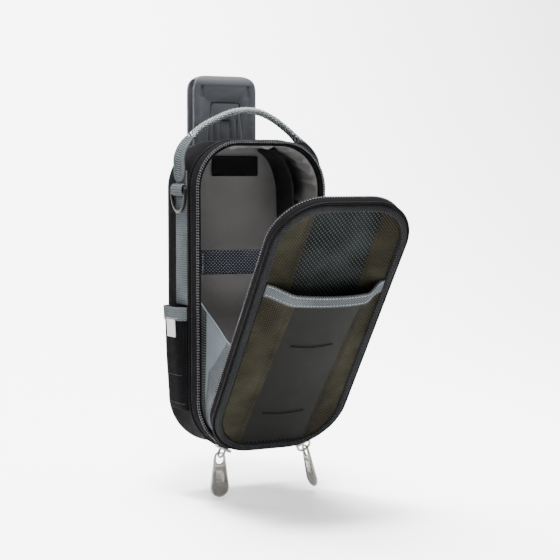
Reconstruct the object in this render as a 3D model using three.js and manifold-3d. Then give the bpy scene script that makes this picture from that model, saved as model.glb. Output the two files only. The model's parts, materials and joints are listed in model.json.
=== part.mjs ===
// Electrician's tool pouch that hangs from a belt clip: a deep body, a zip-round
// flap hinged along the bottom, a carry handle, D-rings and a sprung clip tongue.
// Millimetres, +X to the wearer's left side of the front, -Y to the front, +Z up.
import * as THREE from 'three';
import Module from 'manifold-3d';

const wasm = await Module();
wasm.setup();

// ---------------------------------------------------------------- driving sizes
const WIDTH = 135;
const HEIGHT = 290;
const DEPTH = 64; // back plane of the body to the plane of the zip teeth
const R_TOP = 45;
const R_BOTTOM = 49;
const GAP = 0.3; // between sewn or touching pieces
const WALL = 2.8; // padded side wall
const SKIN = 1.2; // one layer of cloth
const WEB = 25; // webbing width
const WEB_T = 1.8;

const HINGE_Z = 8; // the flap folds this far above the body's bottom
const FLAP_H = HEIGHT - HINGE_Z;
const FLAP_OPEN = THREE.MathUtils.degToRad(34.5);
const FLAP_T = 13.8; // teeth plane to the front of the flap's binding
const SEAM_X = 33; // the vertical seams either side of the centre panel
const POCKET_TOP = 199; // mouth of the flap's pocket, up the flap
const POCKET_BULGE = 17;
const BAND = 12; // folded binding along a pocket's mouth

const ZIP_END = THREE.MathUtils.degToRad(-67); // where the zip stops on the corner
const TAPE_BACK = 48.4; // forward distance at which the zip tape starts
const STRAP_Y = -32; // middle of the side webbing and the handle

const PLATE_Y = 17; // front face of the belt clip
const PLATE_T = 4;
const BELT_GAP = 10;
const CLIP_TOP = 355;
const BELT_TOP = CLIP_TOP - PLATE_T; // the belt's top edge bears here
const ORIGIN = new THREE.Vector3(0, PLATE_Y + PLATE_T + BELT_GAP / 2, BELT_TOP);

// ---------------------------------------------------------------- materials
const LOOKS = {
  blackCloth: [0x1b1c1f, 0.9, 0],
  greyCloth: [0x8d9192, 0.9, 0],
  webbing: [0x5a5f63, 0.85, 0],
  oliveCloth: [0x5b5643, 0.85, 0],
  rubberCloth: [0x26272a, 0.6, 0],
  nylonTeeth: [0x141518, 0.45, 0],
  darkPlastic: [0x2c2e31, 0.5, 0],
  gunmetal: [0x77736b, 0.35, 0.9],
  blackMetal: [0x17181a, 0.4, 0.8],
  label: [0xc9c9c6, 0.8, 0],
};

const pouch = new THREE.Group();

function addPiece(name, geometry, look) {
  const [color, roughness, metalness] = LOOKS[look];
  const shaped = geometry.clone();
  shaped.translate(-ORIGIN.x, -ORIGIN.y, -ORIGIN.z);
  const mesh = new THREE.Mesh(
    shaped,
    new THREE.MeshStandardMaterial({ color, roughness, metalness }),
  );
  mesh.name = name;
  pouch.add(mesh);
}

// ---------------------------------------------------------------- frames
// Rim coordinates: x across, v up the panel, t forward out of it.
function rimFrame(tilt, y, z) {
  const across = new THREE.Vector3(1, 0, 0);
  const up = new THREE.Vector3(0, -Math.sin(tilt), Math.cos(tilt));
  const forward = new THREE.Vector3(0, -Math.cos(tilt), -Math.sin(tilt));
  return new THREE.Matrix4().makeBasis(across, up, forward).setPosition(0, y, z);
}
const BODY = rimFrame(0, 0, 0);
const FLAP = rimFrame(FLAP_OPEN, -DEPTH, HINGE_Z);

// ---------------------------------------------------------------- rim outlines
const CORNER_STEPS = 8;

// Points up one side, over the top and down the other, from one corner angle.
function rimPoints(height, inset, startAngle = -Math.PI / 2) {
  const corners = [
    [WIDTH / 2 - R_BOTTOM, R_BOTTOM, R_BOTTOM - inset, startAngle, 0],
    [WIDTH / 2 - R_TOP, height - R_TOP, R_TOP - inset, 0, Math.PI / 2],
    [R_TOP - WIDTH / 2, height - R_TOP, R_TOP - inset, Math.PI / 2, Math.PI],
    [R_BOTTOM - WIDTH / 2, R_BOTTOM, R_BOTTOM - inset, Math.PI, Math.PI - startAngle],
  ];
  const points = [];
  for (const [cx, cv, radius, from, to] of corners) {
    for (let i = 0; i <= CORNER_STEPS; i += 1) {
      const angle = from + ((to - from) * i) / CORNER_STEPS;
      points.push(new THREE.Vector2(cx + radius * Math.cos(angle), cv + radius * Math.sin(angle)));
    }
  }
  return points;
}

function rimShape(height, inset) {
  return new THREE.Shape(rimPoints(height, inset));
}

function ringShape(height, outerInset, innerInset) {
  const shape = rimShape(height, outerInset);
  shape.holes.push(new THREE.Path(rimPoints(height, innerInset)));
  return shape;
}

function openBandShape(height, outerInset, innerInset, startAngle) {
  const outer = rimPoints(height, outerInset, startAngle);
  const inner = rimPoints(height, innerInset, startAngle).reverse();
  return new THREE.Shape([...outer, ...inner]);
}

// Half the panel's width at a height up it, for an outline set in by inset.
function halfWidth(v, inset, height = FLAP_H) {
  const side = WIDTH / 2 - inset;
  if (v < R_BOTTOM) {
    const r = R_BOTTOM - inset;
    return WIDTH / 2 - R_BOTTOM + Math.sqrt(Math.max(0, r * r - (R_BOTTOM - v) ** 2));
  }
  if (v > height - R_TOP) {
    const r = R_TOP - inset;
    return WIDTH / 2 - R_TOP + Math.sqrt(Math.max(0, r * r - (v - height + R_TOP) ** 2));
  }
  return side;
}

// ---------------------------------------------------------------- solid makers
function extrude(shape, t0, t1, matrix = BODY, round = 0) {
  const geometry = new THREE.ExtrudeGeometry(shape, {
    depth: t1 - t0 - 2 * round,
    curveSegments: 6,
    bevelEnabled: round > 0,
    bevelThickness: round,
    bevelSize: round,
    bevelOffset: -round,
    bevelSegments: 1,
  });
  geometry.translate(0, 0, t0 + round);
  return geometry.applyMatrix4(matrix);
}

function triangles(positions, faces) {
  const geometry = new THREE.BufferGeometry();
  geometry.setAttribute('position', new THREE.Float32BufferAttribute(positions, 3));
  geometry.setIndex(faces);
  return geometry;
}

// A sheet over a grid of points, thickened by a second grid behind it.
function sheet(columns, rows, front, back) {
  const positions = [];
  for (const side of [front, back]) {
    for (let j = 0; j <= rows; j += 1) {
      for (let i = 0; i <= columns; i += 1) {
        positions.push(...side(i / columns, j / rows).toArray());
      }
    }
  }
  const layer = (columns + 1) * (rows + 1);
  const at = (side, i, j) => side * layer + j * (columns + 1) + i;
  const faces = [];
  const quad = (a, b, c, d) => faces.push(a, b, c, a, c, d);
  for (let j = 0; j < rows; j += 1) {
    for (let i = 0; i < columns; i += 1) {
      quad(at(0, i, j), at(0, i + 1, j), at(0, i + 1, j + 1), at(0, i, j + 1));
      quad(at(1, i, j), at(1, i, j + 1), at(1, i + 1, j + 1), at(1, i + 1, j));
    }
  }
  for (let i = 0; i < columns; i += 1) {
    quad(at(0, i, 0), at(1, i, 0), at(1, i + 1, 0), at(0, i + 1, 0));
    quad(at(0, i, rows), at(0, i + 1, rows), at(1, i + 1, rows), at(1, i, rows));
  }
  for (let j = 0; j < rows; j += 1) {
    quad(at(0, 0, j), at(0, 0, j + 1), at(1, 0, j + 1), at(1, 0, j));
    quad(at(0, columns, j), at(1, columns, j), at(1, columns, j + 1), at(0, columns, j + 1));
  }
  return outward(triangles(positions, faces));
}

function signedVolume(geometry) {
  const p = geometry.attributes.position;
  const index = geometry.index;
  const [a, b, c] = [new THREE.Vector3(), new THREE.Vector3(), new THREE.Vector3()];
  let volume = 0;
  for (let i = 0; i < index.count; i += 3) {
    a.fromBufferAttribute(p, index.getX(i));
    b.fromBufferAttribute(p, index.getX(i + 1));
    c.fromBufferAttribute(p, index.getX(i + 2));
    volume += a.dot(b.cross(c)) / 6;
  }
  return volume;
}

// Turns every face round when a solid was built inside out.
function outward(geometry) {
  if (signedVolume(geometry) < 0) {
    const faces = Array.from(geometry.index.array);
    for (let i = 0; i < faces.length; i += 3) {
      [faces[i + 1], faces[i + 2]] = [faces[i + 2], faces[i + 1]];
    }
    geometry.setIndex(faces);
  }
  return geometry;
}

// Joins rings of points into a solid, closed into a loop or capped at both ends.
function loft(rings, loop = false) {
  const size = rings[0].length;
  const positions = rings.flat().flatMap((point) => point.toArray());
  const faces = [];
  const spans = loop ? rings.length : rings.length - 1;
  for (let k = 0; k < spans; k += 1) {
    const next = (k + 1) % rings.length;
    for (let i = 0; i < size; i += 1) {
      const j = (i + 1) % size;
      const [a, b, c, d] = [k * size + i, k * size + j, next * size + j, next * size + i];
      faces.push(a, b, c, a, c, d);
    }
  }
  if (!loop) {
    const last = (rings.length - 1) * size;
    for (let i = 1; i < size - 1; i += 1) {
      faces.push(0, i + 1, i);
      faces.push(last, last + i, last + i + 1);
    }
  }
  return outward(triangles(positions, faces));
}

function section(centre, sideways, outwards, halfW, halfT, count = 8) {
  const points = [];
  for (let i = 0; i < count; i += 1) {
    const angle = (2 * Math.PI * (i + 0.5)) / count;
    const [c, s] = [Math.cos(angle), Math.sin(angle)];
    const u = halfW * Math.sign(c) * Math.abs(c) ** 0.6;
    const w = halfT * Math.sign(s) * Math.abs(s) ** 0.6;
    points.push(centre.clone().addScaledVector(sideways, u).addScaledVector(outwards, w));
  }
  return points;
}

function toManifold(geometry) {
  const plain = geometry.clone();
  plain.deleteAttribute('normal');
  plain.deleteAttribute('uv');
  const source = mergeByPosition(plain);
  return new wasm.Manifold(new wasm.Mesh({
    numProp: 3,
    vertProperties: new Float32Array(source.positions),
    triVerts: new Uint32Array(source.faces),
  }));
}

function mergeByPosition(geometry) {
  const p = geometry.attributes.position;
  const order = geometry.index ? Array.from(geometry.index.array) : [...Array(p.count).keys()];
  const seen = new Map();
  const positions = [];
  const faces = [];
  for (const vertex of order) {
    const point = [p.getX(vertex), p.getY(vertex), p.getZ(vertex)];
    const key = point.map((value) => Math.round(value * 1e4)).join();
    if (!seen.has(key)) {
      seen.set(key, seen.size);
      positions.push(...point);
    }
    faces.push(seen.get(key));
  }
  const kept = [];
  for (let i = 0; i < faces.length; i += 3) {
    const [a, b, c] = faces.slice(i, i + 3);
    if (a !== b && b !== c && a !== c) kept.push(a, b, c);
  }
  return { positions, faces: kept };
}

function combine(method, first, ...others) {
  let result = toManifold(first);
  for (const other of others) result = result[method](toManifold(other));
  const mesh = result.getMesh();
  return triangles(Array.from(mesh.vertProperties), Array.from(mesh.triVerts));
}
const join = (...pieces) => combine('add', ...pieces);
const cut = (...pieces) => combine('subtract', ...pieces);
const common = (...pieces) => combine('intersect', ...pieces);

function block(x0, x1, y0, y1, z0, z1) {
  const geometry = new THREE.BoxGeometry(x1 - x0, y1 - y0, z1 - z0);
  return geometry.translate((x0 + x1) / 2, (y0 + y1) / 2, (z0 + z1) / 2);
}

function roundedRect(halfW, v0, v1, radius, bottomRadius = radius) {
  const shape = new THREE.Shape();
  shape.moveTo(-halfW + bottomRadius, v0);
  shape.lineTo(halfW - bottomRadius, v0);
  shape.quadraticCurveTo(halfW, v0, halfW, v0 + bottomRadius);
  shape.lineTo(halfW, v1 - radius);
  shape.quadraticCurveTo(halfW, v1, halfW - radius, v1);
  shape.lineTo(-halfW + radius, v1);
  shape.quadraticCurveTo(-halfW, v1, -halfW, v1 - radius);
  shape.lineTo(-halfW, v0 + bottomRadius);
  shape.quadraticCurveTo(-halfW, v0, -halfW + bottomRadius, v0);
  return shape;
}

// A shape drawn in y and z, pushed out along x.
function acrossX(points, x0, x1) {
  const shape = new THREE.Shape(points.map(([y, z]) => new THREE.Vector2(y, z)));
  const geometry = new THREE.ExtrudeGeometry(shape, { depth: x1 - x0, bevelEnabled: false });
  const yzx = new THREE.Matrix4().makeBasis(
    new THREE.Vector3(0, 1, 0),
    new THREE.Vector3(0, 0, 1),
    new THREE.Vector3(1, 0, 0),
  );
  return geometry.applyMatrix4(yzx).translate(x0, 0, 0);
}

// A flat piece in x and z, from y0 back to y1.
function backward(shape, y0, y1) {
  return extrude(shape, -y1, -y0);
}

// ---------------------------------------------------------------- body shell
const LINING_OUT = WALL + GAP;
const LINING_IN = LINING_OUT + SKIN;

addPiece('back_panel', extrude(rimShape(HEIGHT, 0), -3, 1), 'blackCloth');
addPiece(
  'side_wall',
  join(
    extrude(ringShape(HEIGHT, 0, WALL), 1 + GAP, TAPE_BACK - 3.2),
    extrude(ringShape(HEIGHT, 1.4, WALL), TAPE_BACK - 4, DEPTH - 4),
  ),
  'blackCloth',
);
addPiece(
  'lining',
  join(
    extrude(rimShape(HEIGHT, LINING_OUT), 1 + GAP, 1 + GAP + SKIN),
    extrude(ringShape(HEIGHT, LINING_OUT, LINING_IN), 1 + GAP, DEPTH - 3),
  ),
  'greyCloth',
);
const bodyPiping = extrude(ringShape(HEIGHT, -1.5, 1.1), TAPE_BACK - 2.9, TAPE_BACK - GAP, BODY, 0.7);
addPiece('body_piping', bodyPiping, 'blackCloth');
addPiece(
  'body_zip_tape',
  extrude(openBandShape(HEIGHT, 0.2, 1.1, ZIP_END), TAPE_BACK, DEPTH - 2.5),
  'blackCloth',
);
addPiece(
  'body_zip_teeth',
  extrude(openBandShape(HEIGHT, 0.2, 2.6, ZIP_END), DEPTH - 2.2, DEPTH - 0.25),
  'nylonTeeth',
);

// ---------------------------------------------------------------- inside the body
const BACK_FACE = 1 + GAP + SKIN; // forward face of the lining's back

addPiece(
  'inner_label',
  extrude(roundedRect(24.5, 257, 276, 1), BACK_FACE + GAP, BACK_FACE + GAP + 0.8),
  'rubberCloth',
);

const STRAP_LOW = 165;
const STRAP_HIGH = 188;
const strapSpan = WIDTH / 2 - LINING_IN - GAP;
const strapPoint = (offset) => (u, w) => {
  const x = THREE.MathUtils.lerp(-strapSpan, strapSpan, u);
  const y = -38 - 12 * (1 - (x / strapSpan) ** 2) + offset;
  return new THREE.Vector3(x, y, THREE.MathUtils.lerp(STRAP_LOW, STRAP_HIGH, w));
};
addPiece('meter_strap', sheet(16, 1, strapPoint(0), strapPoint(1.5)), 'blackCloth');

// A narrow pocket wall that stands off the right side, from the arch downwards.
const dividerLine = new THREE.CatmullRomCurve3([
  new THREE.Vector3(24, 0, 282.5),
  new THREE.Vector3(36, 0, 272),
  new THREE.Vector3(43.5, 0, 254),
  new THREE.Vector3(45.5, 0, 232),
  new THREE.Vector3(46, 0, 150),
  new THREE.Vector3(45, 0, 52),
]);
const dividerPoint = (offset) => (u, w) => {
  const point = dividerLine.getPoint(w);
  return new THREE.Vector3(point.x + offset, THREE.MathUtils.lerp(-BACK_FACE - GAP, -36, u), point.z);
};
addPiece('inner_divider', sheet(1, 22, dividerPoint(0), dividerPoint(1.4)), 'blackCloth');

// ---------------------------------------------------------------- side pocket
const POCKET_BACK = -4;
const POCKET_FRONT = -44.5;
const POCKET_LOW = 38;
const POCKET_HIGH = 135;

function sidePocketPoint(zLow, zHigh, lift) {
  return (u, w) => {
    const y = THREE.MathUtils.lerp(POCKET_BACK, POCKET_FRONT, u);
    const z = THREE.MathUtils.lerp(zLow, zHigh, w);
    const rise = (z - POCKET_LOW) / (POCKET_HIGH - POCKET_LOW);
    const across = 1 - Math.abs(2 * u - 1) ** 5;
    const bulge = (1.5 + 8.5 * Math.sqrt(rise)) * across;
    return new THREE.Vector3(-WIDTH / 2 - GAP - lift - bulge, y, z);
  };
}
addPiece(
  'side_pocket',
  sheet(
    14,
    8,
    sidePocketPoint(POCKET_LOW, POCKET_HIGH - BAND - GAP, SKIN),
    sidePocketPoint(POCKET_LOW, POCKET_HIGH - BAND - GAP, 0),
  ),
  'blackCloth',
);
addPiece(
  'side_pocket_band',
  sheet(
    14,
    1,
    sidePocketPoint(POCKET_HIGH - BAND, POCKET_HIGH, 2.2),
    sidePocketPoint(POCKET_HIGH - BAND, POCKET_HIGH, 0),
  ),
  'webbing',
);
const tagPoint = (lift) => (u, w) => {
  const [low, high] = [POCKET_HIGH - BAND - 16, POCKET_HIGH - BAND - 1];
  return sidePocketPoint(low, high, lift)(0.42 + 0.4 * u, w);
};
addPiece('side_tag', sheet(8, 3, tagPoint(SKIN + 1.5), tagPoint(SKIN + 0.7)), 'label');

// ---------------------------------------------------------------- side webbing and D-rings
const WEB_X = WIDTH / 2 + GAP;
const LOOP_Z = 246;
const RING_R = 1.5;
const LOOP_X = WEB_X + WEB_T + 2.2;
const RING_HALF = 15;

for (const [name, side] of [['left', -1], ['right', 1]]) {
  const strip = block(WEB_X, WEB_X + WEB_T, STRAP_Y - WEB / 2, STRAP_Y + WEB / 2, POCKET_HIGH + 2, 262);
  const eye = new THREE.CylinderGeometry(3.6, 3.6, WEB, 20).translate(LOOP_X, STRAP_Y, LOOP_Z);
  const bore = new THREE.CylinderGeometry(2, 2, WEB + 2, 20).translate(LOOP_X, STRAP_Y, LOOP_Z);
  const webbing = cut(join(strip, eye), bore);
  if (side < 0) webbing.scale(-1, 1, 1);
  addPiece(`side_webbing_${name}`, outward(webbing), 'webbing');
}

// A D: a straight bar through the loop and a bow hanging below it.
function dRing(side) {
  const path = [];
  const bowSteps = 18;
  for (let i = 0; i <= bowSteps; i += 1) {
    const angle = (Math.PI * i) / bowSteps;
    path.push([RING_HALF * Math.cos(angle), -3 - 19 * Math.sin(angle) ** 0.85]);
  }
  path.push([-RING_HALF, -1.2], [-RING_HALF + 1.4, 0]);
  path.push([-6, 0], [6, 0]);
  path.push([RING_HALF - 1.4, 0], [RING_HALF, -1.2]);
  const centres = path.map(([y, z]) => new THREE.Vector3(side * LOOP_X, STRAP_Y + y, LOOP_Z + z));
  const sideways = new THREE.Vector3(1, 0, 0);
  const rings = centres.map((centre, i) => {
    const before = centres[(i + centres.length - 1) % centres.length];
    const after = centres[(i + 1) % centres.length];
    const along = after.clone().sub(before).normalize();
    const outwards = new THREE.Vector3().crossVectors(along, sideways);
    return section(centre, sideways, outwards, RING_R, RING_R, 8);
  });
  return loft(rings, true);
}
addPiece('d_ring_left', dRing(-1), 'blackMetal');
addPiece('d_ring_right', dRing(1), 'blackMetal');

// ---------------------------------------------------------------- carry handle
const HANDLE_X = WEB_X + WEB_T + GAP + 1.1;
const HANDLE_AXIS_Z = 264;
const handleLine = new THREE.CatmullRomCurve3(
  [
    [-HANDLE_X, HANDLE_AXIS_Z - WEB / 2],
    [-HANDLE_X, HANDLE_AXIS_Z],
    [-HANDLE_X + 0.3, 276],
    [-HANDLE_X + 7, 289],
    [-50, 301.5],
    [-32, 311],
    [-12, 318],
    [8, 318.5],
    [26, 312],
    [42, 301.5],
    [55, 290.5],
    [HANDLE_X - 5, 279.5],
    [HANDLE_X, HANDLE_AXIS_Z + 4],
    [HANDLE_X, HANDLE_AXIS_Z - WEB / 2],
  ].map(([x, z]) => new THREE.Vector3(x, STRAP_Y, z)),
  false,
  'centripetal',
);

function handleSections() {
  const rings = [];
  const steps = 48;
  for (let i = 0; i <= steps; i += 1) {
    const u = 0.002 + (0.996 * i) / steps;
    const centre = handleLine.getPointAt(u);
    const along = handleLine.getTangentAt(u);
    const sideways = new THREE.Vector3(0, 1, 0);
    const outwards = new THREE.Vector3().crossVectors(along, sideways);
    const rope = THREE.MathUtils.smoothstep(Math.min(u, 1 - u), 0.13, 0.27);
    const below = Math.max(0, HANDLE_AXIS_Z - centre.z);
    const round = Math.sqrt(Math.max(0.01, 1 - (below / (WEB / 2)) ** 2));
    const halfW = THREE.MathUtils.lerp((WEB / 2) * round, 4.7, rope);
    const halfT = THREE.MathUtils.lerp(0.95, 3.1, rope);
    rings.push(section(centre, sideways, outwards, halfW, halfT));
  }
  return rings;
}
addPiece('carry_handle', loft(handleSections()), 'webbing');

// ---------------------------------------------------------------- flap
const PANEL_T = FLAP_T - 4.8; // front of the stiff sheet inside the flap
const FACE_T = PANEL_T + GAP;
const BINDING = 8.6;

addPiece(
  'flap_lining',
  join(
    extrude(rimShape(FLAP_H, WALL), PANEL_T - 1.2 - GAP - SKIN, PANEL_T - 1.2 - GAP, FLAP),
    extrude(ringShape(FLAP_H, WALL, WALL + SKIN), 1, PANEL_T - 1.2 - GAP, FLAP),
  ),
  'greyCloth',
);
addPiece('flap_panel', extrude(rimShape(FLAP_H, 1.4), PANEL_T - 1.2, PANEL_T, FLAP), 'rubberCloth');
addPiece(
  'flap_zip_tape',
  extrude(openBandShape(FLAP_H, 0.2, 1.1, ZIP_END), 2.6, PANEL_T, FLAP),
  'blackCloth',
);
addPiece(
  'flap_zip_teeth',
  extrude(openBandShape(FLAP_H, 0.2, 2.5, ZIP_END), 0.35, 2.3, FLAP),
  'nylonTeeth',
);
addPiece('flap_piping', extrude(ringShape(FLAP_H, -0.9, 1.3), FACE_T, FACE_T + 2.4, FLAP, 0.7), 'blackCloth');
addPiece('flap_binding', extrude(ringShape(FLAP_H, 1.6, BINDING), FACE_T, FLAP_T, FLAP, 1.4), 'rubberCloth');

const FIELD = BINDING + GAP;
const fieldPoints = rimPoints(FLAP_H, FIELD);
const facing = (x0, x1) => common(
  extrude(new THREE.Shape(fieldPoints), FACE_T, FACE_T + 1, FLAP),
  block(x0, x1, -300, 0, -50, 400),
);
addPiece('weave_panel', facing(-SEAM_X, SEAM_X), 'blackCloth');
addPiece('trim_strip_left', facing(-WIDTH, -SEAM_X - GAP), 'oliveCloth');
addPiece('trim_strip_right', facing(SEAM_X + GAP, WIDTH), 'oliveCloth');

// The pocket over the lower flap: flat at its bottom, standing off at its mouth.
const POCKET_T = FACE_T + 1 + GAP;
const POCKET_V0 = FIELD + 2.6;
const EDGE_X = WIDTH / 2 - FIELD;

function pocketLift(x, v) {
  const rise = (v - POCKET_V0) / (POCKET_TOP - POCKET_V0);
  const beyond = Math.max(0, (Math.abs(x) - SEAM_X) / (EDGE_X - SEAM_X));
  const middle = 1 - 0.12 * (Math.min(Math.abs(x), SEAM_X) / SEAM_X) ** 2;
  const across = middle * (1 - beyond) ** 0.85 * (1 - 0.25 * beyond * beyond);
  return POCKET_BULGE * rise ** 1.15 * across;
}

function pocketSide(xFrom, xTo, v0, v1, lift) {
  return (u, w) => {
    const v = THREE.MathUtils.lerp(v0, v1, w);
    const limit = halfWidth(v, FIELD);
    const x0 = THREE.MathUtils.clamp(xFrom, -limit, limit);
    const x1 = THREE.MathUtils.clamp(xTo, -limit, limit);
    const x = THREE.MathUtils.lerp(x0, x1, u);
    return new THREE.Vector3(x, v, POCKET_T + lift + pocketLift(x, v)).applyMatrix4(FLAP);
  };
}

function pocketPiece(xFrom, xTo, v0, v1, thickness, columns, rows) {
  return sheet(
    columns,
    rows,
    pocketSide(xFrom, xTo, v0, v1, thickness),
    pocketSide(xFrom, xTo, v0, v1, 0),
  );
}
const POCKET_CLOTH_TOP = POCKET_TOP - BAND - GAP;
addPiece(
  'pocket_centre',
  pocketPiece(-SEAM_X, SEAM_X, POCKET_V0, POCKET_CLOTH_TOP, 1.5, 8, 14),
  'rubberCloth',
);
const SIDE_V0 = 13.5;
addPiece(
  'pocket_side_left',
  pocketPiece(-WIDTH, -SEAM_X - GAP, SIDE_V0, POCKET_CLOTH_TOP, 1.5, 6, 14),
  'oliveCloth',
);
addPiece(
  'pocket_side_right',
  pocketPiece(SEAM_X + GAP, WIDTH, SIDE_V0, POCKET_CLOTH_TOP, 1.5, 6, 14),
  'oliveCloth',
);
addPiece(
  'pocket_band',
  pocketPiece(-WIDTH, WIDTH, POCKET_TOP - BAND, POCKET_TOP, 2.3, 24, 1),
  'webbing',
);

// ---------------------------------------------------------------- soft links to the flap
// A point on a rim line in pouch coordinates: q runs 0 at the bottom middle to 1
// where the straight side meets stopV, on the left (-1) or the right (+1).
function rimSpot(side, q, startAngle, stopV, inset, t, matrix) {
  const radius = R_BOTTOM - inset;
  const arc = R_BOTTOM * -startAngle;
  const run = q * (arc + stopV - R_BOTTOM);
  const angle = startAngle + Math.min(run, arc) / R_BOTTOM;
  const x = WIDTH / 2 - R_BOTTOM + radius * Math.cos(angle);
  const v = R_BOTTOM + radius * Math.sin(angle) + Math.max(0, run - arc);
  return new THREE.Vector3(side * x, v, t).applyMatrix4(matrix);
}

const GUSSET_TOP = 140;
const GUSSET_START = THREE.MathUtils.degToRad(-66);
function gusset(side) {
  const surface = (offset) => (u, w) => {
    const q = 0.02 + 0.98 * w;
    const inset = 6;
    const onBody = rimSpot(side, q, GUSSET_START, GUSSET_TOP, inset, DEPTH - 4, BODY);
    const onFlap = rimSpot(side, q, GUSSET_START, GUSSET_TOP - HINGE_Z, inset, 1.5, FLAP);
    const fold = onBody.clone().lerp(onFlap, 0.42);
    fold.x -= side * 20 * q ** 1.2;
    fold.z -= 20 * q ** 2;
    const point = u < 0.5 ? onBody.lerp(fold, 2 * u) : fold.lerp(onFlap, 2 * u - 1);
    point.x -= side * offset;
    return point;
  };
  return sheet(8, 12, surface(0), surface(1));
}
addPiece('gusset_left', gusset(-1), 'greyCloth');
addPiece('gusset_right', gusset(1), 'greyCloth');

// The cloth hinge follows both rims round the bottom, between the zip's two ends.
function hingeSurface(inset) {
  return (u, w) => {
    const side = u < 0.5 ? -1 : 1;
    const q = Math.abs(2 * u - 1);
    const spot = (t, matrix) => hingeSpot(side, q, inset, t, matrix);
    const profile = [
      spot(TAPE_BACK, BODY),
      spot(DEPTH - 3, BODY),
      spot(1.5, FLAP),
      spot(PANEL_T, FLAP),
    ];
    const place = w * (profile.length - 1);
    const k = Math.min(profile.length - 2, Math.floor(place));
    return profile[k].lerp(profile[k + 1], place - k);
  };
}

function hingeSpot(side, q, inset, t, matrix) {
  const flat = WIDTH / 2 - R_BOTTOM;
  const end = ZIP_END - THREE.MathUtils.degToRad(2);
  const arc = R_BOTTOM * (end + Math.PI / 2);
  const run = q * (flat + arc);
  if (run < flat) return new THREE.Vector3(side * run, inset, t).applyMatrix4(matrix);
  const angle = -Math.PI / 2 + (run - flat) / R_BOTTOM;
  const radius = R_BOTTOM - inset;
  const x = flat + radius * Math.cos(angle);
  const v = R_BOTTOM + radius * Math.sin(angle);
  return new THREE.Vector3(side * x, v, t).applyMatrix4(matrix);
}
addPiece('hinge_fabric', sheet(20, 9, hingeSurface(0.2), hingeSurface(1.1)), 'blackCloth');

// ---------------------------------------------------------------- zip sliders and pulls
const SHOE_T = 2.9;
const SHOE_LIFT = 0.6; // the shoe runs this far outside the zip
const BAIL_R = 1.1;
const BAIL_HIGH = 7;
const PULL_LONG = 42;
const PULL_W = 19;
const PULL_NECK = 5.6; // half its width beside the eye
const PULL_RIM = 1.6; // width of the raised rim round its field
const PULL_T = 2.4;
const EYE_HALF = 3.6;
const EYE_LOW = -6.6;
const EYE_ABOVE = 1.6; // room between the bail and the pull's top bar
const TOP_BAR = 1.4;
const PULL_LEAN = THREE.MathUtils.degToRad(14); // the right pull leans outwards

// The slider's place on the corner: x and z of the shoe's outer face, and its lean.
const cornerX = WIDTH / 2 - R_BOTTOM;
const parkAngle = ZIP_END + THREE.MathUtils.degToRad(4);
const shoeRadius = R_BOTTOM + SHOE_LIFT + SHOE_T;
const shoeX = cornerX + shoeRadius * Math.cos(parkAngle);
const shoeZ = R_BOTTOM + shoeRadius * Math.sin(parkAngle);
const SHOE_MID = DEPTH; // it straddles both rows of teeth

function slider(side, bailTurn, bailHalf) {
  const shoe = new THREE.Shape();
  shoe.moveTo(-7.5, -3.6);
  shoe.quadraticCurveTo(-4, -6.2, 1, -6);
  shoe.lineTo(7, -4.6);
  shoe.lineTo(7, 4.6);
  shoe.lineTo(1, 6);
  shoe.quadraticCurveTo(-4, 6.2, -7.5, 3.6);
  shoe.closePath();
  const plate = new THREE.ExtrudeGeometry(shoe, {
    depth: SHOE_T - 1.4,
    bevelEnabled: true,
    bevelThickness: 0.7,
    bevelSize: 0.7,
    bevelOffset: -0.7,
    bevelSegments: 2,
    curveSegments: 5,
  });
  plate.translate(0, 0, -SHOE_T + 0.7);
  // drawn with its outer face at z = 0 looking along +z, its length along x
  const arch = [];
  for (let i = 0; i <= 12; i += 1) {
    const angle = (Math.PI * i) / 12;
    const height = -1 + (BAIL_HIGH + 1) * Math.sin(angle) ** 0.45;
    const centre = new THREE.Vector3(-bailHalf * Math.cos(angle), 0, height);
    const tangent = new THREE.Vector3(Math.sin(angle), 0, Math.cos(angle)).normalize();
    const sideways = new THREE.Vector3(0, 1, 0);
    const outwards = new THREE.Vector3().crossVectors(tangent, sideways);
    arch.push(section(centre, sideways, outwards, BAIL_R, BAIL_R, 8));
  }
  const bail = loft(arch).rotateZ(bailTurn);
  const whole = join(plate, bail);
  // long axis along the zip, outer face away from the corner's centre
  const outwards = new THREE.Vector3(side * Math.cos(parkAngle), 0, Math.sin(parkAngle));
  const across = new THREE.Vector3(0, -1, 0);
  const along = new THREE.Vector3().crossVectors(across, outwards);
  whole.applyMatrix4(new THREE.Matrix4().makeBasis(along, across, outwards));
  return whole.translate(side * shoeX, -SHOE_MID, shoeZ);
}

// The pull's outline from its neck down to its round end, drawn inset by some distance.
function pullSides(shape, low, inset) {
  const end = PULL_W / 2 - inset;
  const centre = low + PULL_W / 2;
  shape.lineTo(-end, centre);
  for (let i = 1; i <= 12; i += 1) {
    const angle = Math.PI + (Math.PI * i) / 12;
    shape.lineTo(end * Math.cos(angle), centre + end * Math.sin(angle));
  }
}

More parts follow.
